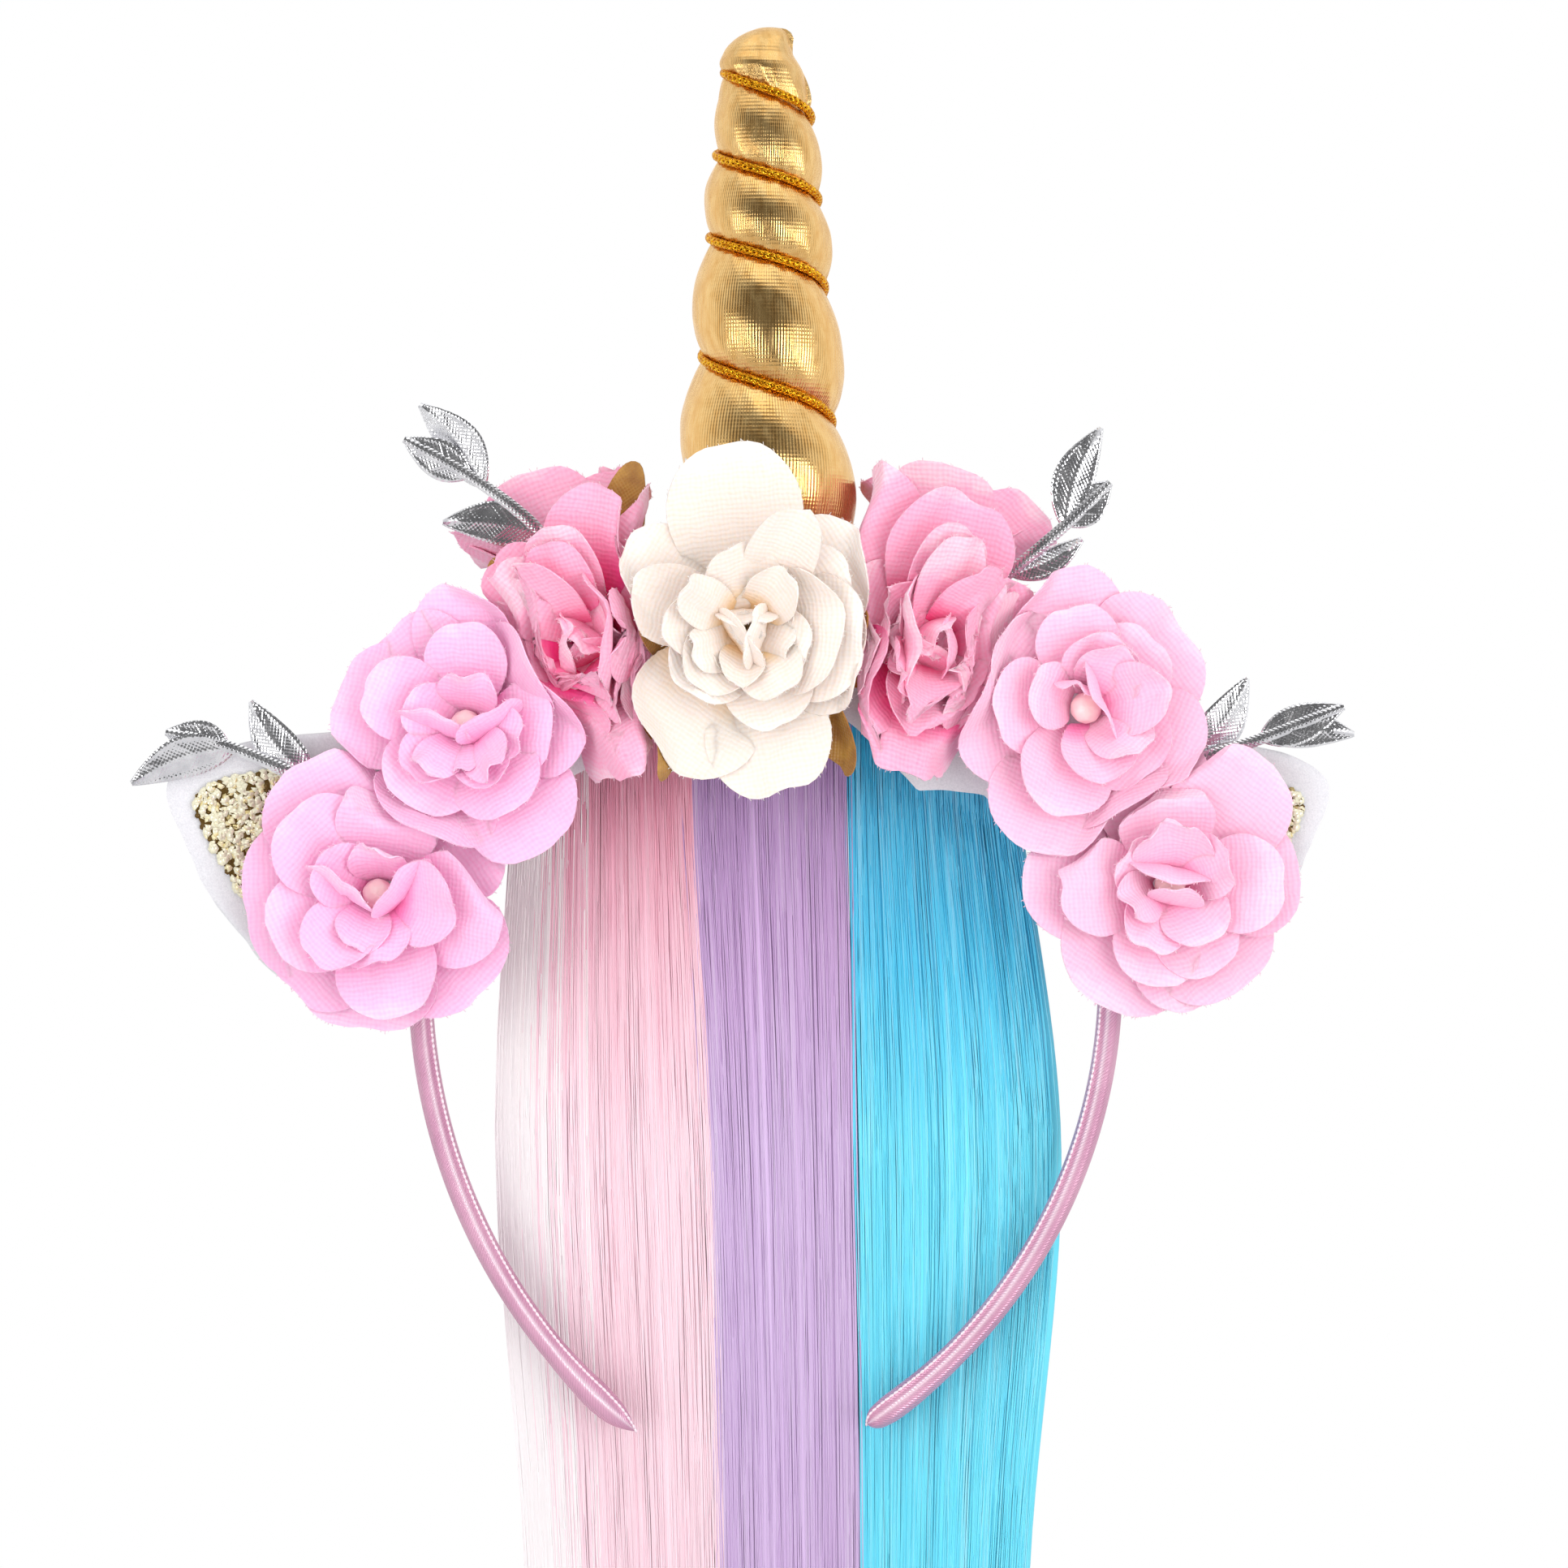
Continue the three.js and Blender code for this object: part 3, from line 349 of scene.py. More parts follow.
class Finish:
    """A material with its shader at hand and short calls for the nodes that the finishes share."""

    def __init__(self, name, **sockets):
        self.material = bpy.data.materials.new(name)
        self.material.use_nodes = True
        self.tree = self.material.node_tree
        self.shader = self.tree.nodes["Principled BSDF"]
        for label, value in sockets.items():
            self.shader.inputs[label.replace("_", " ").title().replace("Ior", "IOR")].default_value = value

    def add(self, kind, inputs=None, **settings):
        return node_in(self.tree, kind, inputs, **settings)

    def math(self, operation, *values):
        return tree_math(self.tree, operation, *values)

    def flat_xy(self):
        uv = self.add("ShaderNodeUVMap", uv_map="flat").outputs["UV"]
        parts = self.add("ShaderNodeSeparateXYZ", {"Vector": uv})
        return parts.outputs["X"], parts.outputs["Y"]

    def place(self, scale=(1, 1, 1)):
        source = self.add("ShaderNodeTexCoord").outputs["Object"]
        return self.add("ShaderNodeMapping", {"Vector": source, "Scale": scale}).outputs["Vector"]

    def noise(self, vector, scale, detail=3.0, roughness=0.55):
        inputs = {"Vector": vector, "Scale": scale, "Detail": detail, "Roughness": roughness}
        return self.add("ShaderNodeTexNoise", inputs).outputs["Fac"]

    def value(self, name):
        return self.add("ShaderNodeAttribute", attribute_name=name).outputs["Fac"]

    def ramp(self, fac, stops):
        node = self.add("ShaderNodeValToRGB", {"Fac": fac})
        elements = node.color_ramp.elements
        while len(elements) < len(stops):
            elements.new(0.5)
        for element, (position, colour) in zip(elements, stops):
            element.position = position
            element.color = (*colour, 1)
        return node.outputs["Color"]

    def mix(self, fac, a, b, blend="MIX"):
        a, b = (value if isinstance(value, bpy.types.NodeSocket) else (*value, 1) for value in (a, b))
        inputs = {0: fac, 6: a, 7: b}
        return self.add("ShaderNodeMix", inputs, data_type="RGBA", blend_type=blend).outputs[2]

    def set(self, label, value):
        self.tree.links.new(value, self.shader.inputs[label])

    def bump(self, height, distance, strength=1.0, under=None):
        inputs = {"Height": height, "Distance": distance * MM, "Strength": strength}
        if under is not None:
            inputs["Normal"] = under
        return self.add("ShaderNodeBump", inputs).outputs["Normal"]

    def weave(self, pitch):
        """Plain weave on the flat cloth: threads go over and under by turns."""
        u, v = self.flat_xy()
        across = self.math("SINE", self.math("MULTIPLY", u, 2 * math.pi / pitch))
        along = self.math("SINE", self.math("MULTIPLY", v, 2 * math.pi / pitch))
        return self.math("MULTIPLY", across, along)

    def ribbed(self, pitch):
        """Ribbed weave: strong threads across, weak ones along."""
        u, v = self.flat_xy()
        wander = self.math("MULTIPLY", self.noise(self.place(), 260.0, 2.0), RIB_WANDER)
        across = self.math("SINE", self.math("MULTIPLY", self.math("ADD", v, wander), 2 * math.pi / pitch))
        along = self.math("SINE", self.math("MULTIPLY", self.math("ADD", u, wander), 2 * math.pi / pitch))
        return self.math("MULTIPLY_ADD", along, RIB_ALONG, self.math("MULTIPLY", across, RIB_ACROSS))


def linear(red, green, blue):
    """A colour as read from the picture, 0 to 255, made linear for the shader."""
    shares = np.array([red, green, blue]) / 255
    return tuple(np.where(shares <= 0.04045, shares / 12.92, ((shares + 0.055) / 1.055) ** 2.4).tolist())


print("finish helpers ready")

# %% Petal cloth, felt, satin and calyx
PETAL_WEAVE = 0.95
CALYX_WEAVE = 0.9
TWILL = 0.7


def petal_finish(name, deep, middle, rim):
    """Thin woven polyester: deep at the heart, partly dye and partly painted shade, pale at the rim, with a
    little light in it.
    """
    finish = Finish(
        name, roughness=0.75, sheen_weight=0.15, sheen_roughness=0.5, specular_ior_level=0.2,
        subsurface_weight=0.3, subsurface_scale=0.6 * MM, subsurface_radius=(1.0, 0.75, 0.9),
    )
    cloudy = finish.noise(finish.place(), 160.0)
    # The colour runs from deep at the hub to pale at the rim: the deep heart is partly the cloth's dye and
    # partly painted shade in the rose's heart.
    reach = finish.math("ADD", finish.value("reach"), finish.math("MULTIPLY_ADD", cloudy, 0.3, -0.15))
    dye = finish.ramp(reach, [(0.0, deep), (0.34, middle), (0.9, middle), (1.0, rim)])
    thread = finish.math("MULTIPLY_ADD", finish.ribbed(PETAL_WEAVE), 0.5, 0.5)
    slub = finish.noise(finish.place(), 900.0, 2.0)
    shade = finish.math("MULTIPLY", thread, finish.math("MULTIPLY", slub, 0.44))
    finish.set("Base Color", finish.mix(shade, dye, deep))
    creases = finish.noise(finish.place(), 300.0, 2.0)
    finish.set("Normal", finish.bump(thread, 0.09, 0.8, finish.bump(creases, 0.4, 0.5)))
    return finish.material


def felt_finish():
    finish = Finish(
        "felt_white", roughness=0.95, sheen_weight=0.5, sheen_roughness=0.6, specular_ior_level=0.15,
    )
    fluff = finish.noise(finish.place(), 2600.0, 5.0, 0.7)
    pressed = finish.noise(finish.place(), 260.0)
    dye = finish.ramp(fluff, [(0.25, linear(214, 213, 219)), (0.7, linear(236, 235, 239))])
    finish.set("Base Color", dye)
    finish.set("Normal", finish.bump(fluff, 0.22, 0.7, finish.bump(pressed, 0.4, 0.3)))
    return finish.material


def satin_finish():
    """Ribbon in a fine twill: diagonal threads that shine along the folds."""
    finish = Finish("satin_pink", metallic=0.25, specular_ior_level=1.0, anisotropic=0.4)
    u, v = finish.flat_xy()
    twill = finish.math("SINE", finish.math("MULTIPLY", finish.math("ADD", u, v), 2 * math.pi / TWILL))
    cloudy = finish.noise(finish.place(), 90.0)
    dye = finish.ramp(cloudy, [(0.3, linear(210, 148, 180)), (0.7, linear(228, 170, 198))])
    dark = finish.math("MULTIPLY_ADD", twill, 0.12, 0.12)
    ribbon = finish.mix(dark, dye, linear(150, 88, 124))
    # The tone mixes in a pale pink: along the ridge it is a painted highlight, on the stitches partly the
    # thread's colour and partly a painted highlight.
    finish.set("Base Color", finish.mix(finish.value("tone"), ribbon, linear(255, 232, 242)))
    finish.set("Normal", finish.bump(twill, 0.06, 0.8))
    finish.set("Roughness", finish.math("MULTIPLY_ADD", twill, 0.05, 0.26))
    return finish.material


def calyx_finish():
    finish = Finish("calyx_bronze", roughness=0.42, sheen_weight=0.2, specular_ior_level=0.5)
    weave = finish.weave(CALYX_WEAVE)
    cloudy = finish.noise(finish.place(), 200.0)
    dye = finish.ramp(cloudy, [(0.3, linear(150, 98, 34)), (0.7, linear(196, 146, 58))])
    finish.set("Base Color", dye)
    finish.set("Normal", finish.bump(weave, 0.07, 0.8))
    return finish.material


# Dye: at the heart, where it is partly painted shade, on the blade and at the cut rim.
PETAL_DYES_AND_HEART_SHADE = {
    "petal_white": ((246, 208, 158), (241, 231, 226), (246, 240, 237)),
    "petal_rose": ((255, 66, 146), (255, 188, 214), (255, 214, 229)),
    "petal_lilac": ((253, 130, 194), (254, 199, 230), (255, 211, 236)),
    "petal_blush": ((253, 138, 192), (254, 202, 225), (255, 214, 232)),
}
finishes = {}
for slot, dyes in PETAL_DYES_AND_HEART_SHADE.items():
    finishes[slot] = petal_finish(slot, *(linear(*dye) for dye in dyes))
finishes["felt_white"] = felt_finish()
finishes["satin_pink"] = satin_finish()
finishes["calyx_bronze"] = calyx_finish()
print("cloth finishes:", ", ".join(finishes))

# %% Metallic cloth, glitter, beads and floor
LAME_RIB = 0.55
LAME_COURSE = 0.75
FOIL_WEAVE = 0.9


def lame_finish():
    """Foil on a knitted ground: fine ribs break the shine into dashes."""
    finish = Finish("lame_gold", metallic=1.0)
    u, v = finish.flat_xy()
    rib = finish.math("SINE", finish.math("MULTIPLY", u, 2 * math.pi / LAME_RIB))
    course = finish.math("SINE", finish.math("MULTIPLY", v, 2 * math.pi / LAME_COURSE))
    knit = finish.math("MULTIPLY_ADD", course, 0.4, rib)
    worn = finish.noise(finish.place((1, 1, 0.4)), 700.0, 4.0)
    finish.set("Base Color", finish.ramp(worn, [(0.3, linear(228, 178, 106)), (0.7, linear(246, 206, 138))]))
    finish.set("Roughness", finish.math("MULTIPLY_ADD", worn, 0.2, 0.16))
    finish.set("Normal", finish.bump(knit, 0.035, 0.55, finish.bump(worn, 0.1, 0.3)))
    return finish.material


def cord_finish():
    finish = Finish("cord_gold", metallic=1.0, roughness=0.22)
    glint = finish.noise(finish.place(), 1500.0, 2.0)
    finish.set("Base Color", finish.ramp(glint, [(0.35, linear(196, 116, 8)), (0.65, linear(255, 196, 48))]))
    finish.set("Normal", finish.bump(glint, 0.12, 0.8))
    return finish.material


def glitter_finish():
    """Foil flakes: most are pale gold, and about a quarter are painted brown, as painted shade for flakes
    turned away from the light.
    """
    finish = Finish("glitter_gold", metallic=0.35, roughness=0.25)
    tone = finish.value("tone")
    # The brown stop is painted shade for flakes turned away from the light; the ground cloth has no tone and
    # takes it too.
    brown, gold, pale = linear(104, 78, 30), linear(250, 230, 164), linear(255, 250, 222)
    finish.set("Base Color", finish.ramp(tone, [(0.0, brown), (0.22, brown), (0.28, gold), (0.55, pale)]))
    finish.set("Normal", finish.bump(finish.noise(finish.place(), 900.0, 1.0), 0.2, 0.3))
    return finish.material


def silver_finish():
    finish = Finish("leaf_silver", metallic=1.0)
    woven = finish.weave(FOIL_WEAVE)
    worn = finish.noise(finish.place(), 300.0, 2.0)
    finish.set("Base Color", finish.ramp(worn, [(0.3, linear(222, 222, 226)), (0.7, linear(250, 250, 252))]))
    finish.set("Roughness", finish.math("MULTIPLY_ADD", worn, 0.14, 0.18))
    finish.set("Normal", finish.bump(woven, 0.045, 0.6))
    return finish.material


def bead_finish():
    finish = Finish("bead_cream", roughness=0.4, coat_weight=0.15, subsurface_weight=0.1)
    cloudy = finish.noise(finish.place(), 300.0)
    dye = finish.ramp(cloudy, [(0.3, linear(252, 214, 208)), (0.7, linear(254, 230, 224))])
    finish.set("Base Color", dye)
    finish.set("Normal", finish.bump(cloudy, 0.1, 0.2))
    return finish.material


def floor_finish():
    finish = Finish("floor", roughness=0.9)
    cloudy = finish.noise(finish.place(), 30.0)
    finish.set("Base Color", finish.ramp(cloudy, [(0.0, (0.86, 0.86, 0.86)), (1.0, (0.9, 0.9, 0.9))]))
    return finish.material


finishes["lame_gold"] = lame_finish()
finishes["cord_gold"] = cord_finish()
finishes["glitter_gold"] = glitter_finish()
finishes["leaf_silver"] = silver_finish()
finishes["bead_cream"] = bead_finish()
floor.data.materials.append(floor_finish())
print("finishes:", len(finishes))

# %% [markdown]
# ## Headband
# A springy band is wrapped in satin ribbon. A sweep of one section along the band's line gives the form:
# a half circle over the head and two legs that bend inwards. The section has a ridge in front, where the
# light catches, and a narrow raised seam on its inner side, where the ribbon's edges meet. The glint on
# the ridge is narrower than a pixel, so a painted highlight, a pale line along it, carries the look.

# %% Sweep the satin band
BAND_RADIUS = 68.0
BAND_HALF = 2.4
ARC_Z = BAND_HALF - BAND_RADIUS
BAND_CORNERS = [
    (-2.4, -1.5), (-0.6, -3.75), (1.3, -3.3), (2.4, -1.3), (2.4, 1.3), (1.3, 3.3), (-0.6, 3.75), (-2.4, 1.5),
]
# Leg: radius and sweep of its bend, then the section's scale at distances from the tip.
TIP_DISTANCE = [0, 0.5, 1.6, 4, 9, 15, 22]
LEGS = {
    -1: (115.2, math.radians(50.8), [0.04, 0.18, 0.42, 0.84, 1.16, 1.1, 1.0]),
    1: (104.7, math.radians(57.2), [0.04, 0.4, 0.78, 1.04, 1.12, 1.06, 1.0]),
}
TIP_ROWS = 14
TIP_LENGTH = 9.0
BAND_STEPS = 210
SECTION_POINTS = 60
CORNER_ROUNDS = 2
CORNER_CUT = 0.16
# Painted highlight along the ridge: its centre in the section, its width, and how pale it makes the satin.
RIDGE_PLACE = (-0.5, -3.6)
PAINTED_HIGHLIGHT_WIDTH = 0.42
RIDGE_PAINTED_HIGHLIGHT = 0.75
SEAM_PLACE = (-1.75, -2.35)
SEAM_HEIGHT = 0.3
SEAM_WIDTH = 0.45


def half_band(side, steps):
    """Half of the band's line from a tip to the top: way along, place, outward way and scale."""
    radius, sweep, scales = LEGS[side]
    leg = radius * sweep
    even = np.linspace(0, leg + BAND_RADIUS * math.pi / 2, steps)
    fine = TIP_LENGTH * (1 - np.cos(np.linspace(0, math.pi / 2, TIP_ROWS)[1:-1]))
    along = np.sort(np.concatenate([even, fine]))
    bend = np.clip((leg - along) / radius, 0, None)
    turn = np.clip((along - leg) / BAND_RADIUS, 0, None)
    x = BAND_RADIUS * np.cos(turn) - radius * (1 - np.cos(bend))
    z = ARC_Z + BAND_RADIUS * np.sin(turn) - radius * np.sin(bend)
    out = np.stack([side * np.cos(turn) * np.cos(bend), np.sin(turn) - np.sin(bend)], 1)
    return along, np.stack([side * x, z], 1), out, smooth_table(TIP_DISTANCE, scales, along)


def band_line(steps):
    """The whole line, from the left tip over the top to the right tip."""
    left, right = half_band(-1, steps), half_band(1, steps)
    whole = left[0][-1] + right[0][-1]
    along = np.concatenate([left[0], (whole - right[0])[-2::-1]])
    return along, *(np.concatenate([a, b[-2::-1]]) for a, b in zip(left[1:], right[1:]))


def rounded_section(corners, rounds, samples):
    """Chaikin's corner cutting, then points at even distances round the outline."""
    line = np.array(corners, float)
    for _ in range(rounds):
        after = np.roll(line, -1, axis=0)
        near, far = 1 - CORNER_CUT, CORNER_CUT
        line = np.stack([near * line + far * after, far * line + near * after], 1).reshape(-1, 2)
    closed = np.vstack([line, line[:1]])
    reach = np.concatenate([[0], np.cumsum(np.linalg.norm(np.diff(closed, axis=0), axis=1))])
    even = np.linspace(0, reach[-1], samples, endpoint=False)
    return np.stack([np.interp(even, reach, closed[:, k]) for k in (0, 1)], 1), even


def on_band(line, out, scale, section):
    """Places of a section's points along the band, one row for each point of the line."""
    x = line[:, :1] + out[:, :1] * section[None, :, 0] * scale[:, None]
    z = line[:, 1:] + out[:, 1:] * section[None, :, 0] * scale[:, None]
    return np.stack([x, section[None, :, 1] * scale[:, None], z], -1)


def satin_band():
    along, line, out, scale = band_line(BAND_STEPS)
    section, around = rounded_section(BAND_CORNERS, CORNER_ROUNDS, SECTION_POINTS)
    seam = np.linalg.norm(section - np.array(SEAM_PLACE), axis=1)
    section = section + unit(section) * (SEAM_HEIGHT * np.exp(-((seam / SEAM_WIDTH) ** 2)))[:, None]
    flat = np.stack(np.broadcast_arrays(along[:, None], around[None, :]), -1)
    part = tube(on_band(line, out, scale, section), flat)
    # The tone along the ridge is a painted highlight: a pale line that stands in for the glint.
    ridge = np.linalg.norm(section - np.array(RIDGE_PLACE), axis=1)
    shine = RIDGE_PAINTED_HIGHLIGHT * np.exp(-((ridge / PAINTED_HIGHLIGHT_WIDTH) ** 2))
    part["tone"] = np.concatenate([np.tile(shine, len(line)), np.zeros(2)])
    return part


headband = make_piece("satin_band", satin_band(), finishes["satin_pink"])
dress(headband, "satin_pink", "headband")

# %% [markdown]
# ## Felt backing
# The flowers are glued to a crescent of white felt in front of the band. It could stay the plain solid,
# but felt has soft, slightly wavy cut edges, so it is made again as cloth whose wall thins at the rim.

# %% Felt crescent
FELT_THICK = 2.0
FELT_BACK_Y = -4.05
FELT_GRID = (200, 17)
FELT_WAVER = 0.25
FELT_BUCKLE = 0.12
FELT_RIM = 0.55
FELT_ANGLE = [-88, -80, -55, -40, -31, -24, -18, 0, 18, 24, 31, 39, 50, 80, 88]
FELT_INNER = [66, 62, 58, 54, 53, 53, 53, 53, 53, 51, 49, 47.5, 56, 62, 66]
FELT_OUTER = [80, 83, 83, 84, 92, 92, 68.5, 68.5, 68.5, 92, 92, 84, 83, 83, 80]


def on_arc(degrees, radius, y):
    """Points in the band's plane at an angle from straight up, seen from the front."""
    turn = np.radians(degrees)
    x, z = radius * np.sin(turn), ARC_Z + radius * np.cos(turn)
    return np.stack(np.broadcast_arrays(x, y, z), -1)


def soft_edge(rows, columns, least):
    """Share of the full thickness: thin at the rim, whole a few points further in."""
    i = np.minimum(np.arange(rows), np.arange(rows)[::-1])[:, None]
    j = np.minimum(np.arange(columns), np.arange(columns)[::-1])[None, :]
    return least + (1 - least) * np.clip(np.minimum(i, j) / 2, 0, 1) ** 0.5


def felt_crescent():
    angle = np.linspace(FELT_ANGLE[0], FELT_ANGLE[-1], FELT_GRID[0])[:, None]
    share = np.linspace(0, 1, FELT_GRID[1])[None, :]
    inner = np.interp(angle, FELT_ANGLE, FELT_INNER) + FELT_WAVER * ripple(angle, 1, 3)
    outer = np.interp(angle, FELT_ANGLE, FELT_OUTER) + FELT_WAVER * ripple(angle, 2, 3)
    radius = inner + (outer - inner) * share
    y = FELT_BACK_Y - FELT_THICK / 2 + FELT_BUCKLE * ripple(angle + 9 * share, 3, 4)
    flat = np.stack(np.broadcast_arrays(radius * np.radians(angle), radius), -1)
    grid = on_arc(angle, radius, y)
    return cloth(grid, FELT_THICK * soft_edge(*grid.shape[:2], FELT_RIM), flat), grid


felt_part, felt_grid = felt_crescent()
felt = make_piece("felt_crescent", felt_part, finishes["felt_white"])
dress(felt, "felt_white", "felt_backing")

# %% [markdown]
# ## Horn
# The horn is a cone of gold foil cloth, stuffed and drawn in by a cord that winds down it. The cord's
# height at its right and left sides is a short table, read as one smooth helix. Between two turns the
# cloth swells like a cushion, and at the cord it is pulled in, with small puckers that die away from it.
# A cloth simulation then blows the cover up a little, held along the cord, so that the puckers bulge
# as stuffed cloth does. Its result becomes a plain mesh.

# %% Stuffed horn
HORN_Y = 4.0
HORN_BASE = 5.1
HORN_SHOULDER = 116.5
HORN_TOP = 122.4
CORD_HEIGHTS = [117.8, 113.4, 104.6, 97.1, 88.3, 80.8, 70.9, 57.4, 44.3, 30.4, 17.4, 8.2]
TIP_Z = [108, 113, 116.2, 119, 120.7, 121.7, 122.2, 122.4]
TIP_X = [0, -1.0, -1.5, -1.1, -0.2, 0.5, 0.8, 0.8]
TIP_R = [9.4, 8.6, 7.3, 6.0, 4.7, 3.2, 1.7, 0.05]
HORN_TIP_RADIUS = 8.3
HORN_FLARE = 0.148
HORN_BELLY = 0.00042
GROOVE_LEVEL = 92
GROOVE_DEPTH = 3.15
GROOVE_GROWTH = 0.043
GROOVE_LIMITS = (2.1, 5.2)
ROOM_ABOVE = 9
ROOM_BELOW = 4
SWELL_POWER = 0.6
PUCKER = 0.32
LUMPS = 0.2
HORN_TIP_ROWS = 26
HORN_TIP_LENGTH = 7
CAP_FROM = 112.5
CAP_BLEND = 4
HOOK_FROM = 117.2
HOOK_BLEND = 3
HOOK_REACH = 0.9
FLAT_RADIUS = 14.0
HELD_WIDTH = 0.05
HELD_LEAST = 0.3
HORN_COLUMNS = 132
HORN_ROWS = 226


def cord_height(half_turns):
    return smooth_table(np.arange(len(CORD_HEIGHTS)), CORD_HEIGHTS, half_turns)


def horn_envelope(z):
    down = HORN_SHOULDER - z
    return HORN_TIP_RADIUS + HORN_FLARE * down - HORN_BELLY * down**2


def groove_depth(z):
    return np.clip(GROOVE_DEPTH + GROOVE_GROWTH * (GROOVE_LEVEL - z), *GROOVE_LIMITS)


def bulge_share(angle, z):
    """How far a point is from the turn of the cord above it to the one below, 0 to 1."""
    share = np.full(np.broadcast(angle, z).shape, 0.5)
    for turn in range(-1, len(CORD_HEIGHTS) // 2):
        half_turns = angle / math.pi + 2 * turn
        top = np.where(half_turns < 0, HORN_TOP + ROOM_ABOVE, cord_height(half_turns))
        below = half_turns + 2
        bottom = np.where(below > len(CORD_HEIGHTS) - 1, HORN_BASE - ROOM_BELOW, cord_height(below))
        inside = (z <= top) & (z > bottom)
        share = np.where(inside, (top - z) / np.maximum(top - bottom, 1e-6), share)
    return np.clip(share, 0.0, 1.0)


def horn_grid():
    angle = np.linspace(0, 2 * math.pi, HORN_COLUMNS, endpoint=False)[None, :]
    tip = HORN_TOP - HORN_TIP_LENGTH * (1 - np.cos(np.linspace(0, math.pi / 2, HORN_TIP_ROWS)))[::-1]
    z = np.concatenate([np.linspace(HORN_BASE, tip[0], HORN_ROWS, endpoint=False), tip])[:, None]
    share = bulge_share(angle, z)
    swell = np.sin(math.pi * share) ** SWELL_POWER
    near_cord = np.minimum(share, 1 - share)
    pucker = ripple(angle * 9 + z * 0.35, 4, 1.0) * np.exp(-near_cord * 9) * np.clip(near_cord * 14, 0, 1)
    lumps = ripple(angle * 3 + z * 0.21, 5, 1.0) * ripple(angle * 2 - z * 0.17, 6, 1.0)
    radius = horn_envelope(z) - groove_depth(z) * (1 - swell) + PUCKER * pucker + LUMPS * lumps * swell
    cap = smooth_table(TIP_Z, TIP_R, z)
    blend = np.clip((z - CAP_FROM) / CAP_BLEND, 0, 1)
    radius = radius * (1 - blend) + np.minimum(cap, radius + 3 * blend) * blend
    shift = np.where(z > TIP_Z[0], smooth_table(TIP_Z, TIP_X, z), 0)
    hook = np.clip((z - HOOK_FROM) / HOOK_BLEND, 0, 1) * np.exp(-((angle - 0.05) ** 2) * 2.2)
    x = shift + radius * np.cos(angle) + HOOK_REACH * hook * np.cos(angle)
    y = HORN_Y + radius * np.sin(angle)
    grid = np.stack(np.broadcast_arrays(x, y, z), -1)
    flat = np.stack(np.broadcast_arrays(angle * FLAT_RADIUS, z), -1)
    return grid, flat, share


def stuff(piece, share, frames=14, pressure=3.0, cap=1.1):
    """Cloth simulation: the cover is held along the cord and at its ends, and swells between them."""
    held = piece.vertex_groups.new(name="held")
    weights = np.exp(-((np.minimum(share, 1 - share) / HELD_WIDTH) ** 2)).ravel()
    for index in np.flatnonzero(weights > HELD_LEAST):
        held.add([int(index)], float(weights[index]), "REPLACE")
    held.add(list(range(HORN_COLUMNS)), 1.0, "REPLACE")
    held.add([len(weights), len(weights) + 1], 1.0, "REPLACE")
    modifier = piece.modifiers.new("stuffing", "CLOTH")
    modifier.settings.vertex_group_mass = "held"
    modifier.settings.use_pressure = True
    modifier.settings.uniform_pressure_force = pressure
    modifier.settings.effector_weights.gravity = 0
    modifier.settings.quality = 5
    scene = bpy.context.scene
    for number in range(1, frames + 1):
        scene.frame_set(number)
    depsgraph = bpy.context.evaluated_depsgraph_get()
    swollen = piece.evaluated_get(depsgraph).to_mesh()
    moved = np.empty(len(swollen.vertices) * 3)
    swollen.vertices.foreach_get("co", moved)
    start = np.empty_like(moved)
    piece.data.vertices.foreach_get("co", start)
    change = (moved - start).reshape(-1, 3) / MM
    far = np.linalg.norm(change, axis=1, keepdims=True)
    change *= np.minimum(1, cap / np.maximum(far, 1e-9))
    piece.modifiers.remove(modifier)
    piece.vertex_groups.clear()
    piece.data.vertices.foreach_set("co", (start.reshape(-1, 3) + change * MM).ravel())
    scene.frame_set(1)
    print("stuffing moved the cover by up to", round(float(np.linalg.norm(change, axis=1).max()), 2), "mm")


horn_points, horn_flat, horn_share = horn_grid()
horn = make_piece("stuffed_horn", tube(horn_points, horn_flat), finishes["lame_gold"], crease=0)
stuff(horn, horn_share)
dress(horn, "lame_gold", "horn")

# %% [markdown]
# ## Cord on the horn
# A thin braided cord of gold thread lies in the groove. Geometry Nodes follow the helix: the path is
# copied once for each thread, half of the threads wind one way and half the other, and each becomes a
# thin tube. It is wound tight on the horn, so it isn't a free cord.

# %% Tree that braids threads round a path


def new_tree(name, sockets):
    """An empty geometry tree with named inputs, and its input and output nodes."""
    tree = bpy.data.node_groups.new(name, "GeometryNodeTree")
    tree.interface.new_socket("Geometry", in_out="INPUT", socket_type="NodeSocketGeometry")
    tree.interface.new_socket("Geometry", in_out="OUTPUT", socket_type="NodeSocketGeometry")
    for label, kind in sockets:
        tree.interface.new_socket(label, in_out="INPUT", socket_type="NodeSocket" + kind)
    return tree, tree.nodes.new("NodeGroupInput"), tree.nodes.new("NodeGroupOutput")


def end_tree(tree, geometry, given, out):
    real = node_in(tree, "GeometryNodeRealizeInstances", {"Geometry": geometry})
    inputs = {"Geometry": real.outputs[0], "Material": given.outputs["Material"]}
    coloured = node_in(tree, "GeometryNodeSetMaterial", inputs)
    tree.links.new(coloured.outputs[0], out.inputs[0])
    return tree


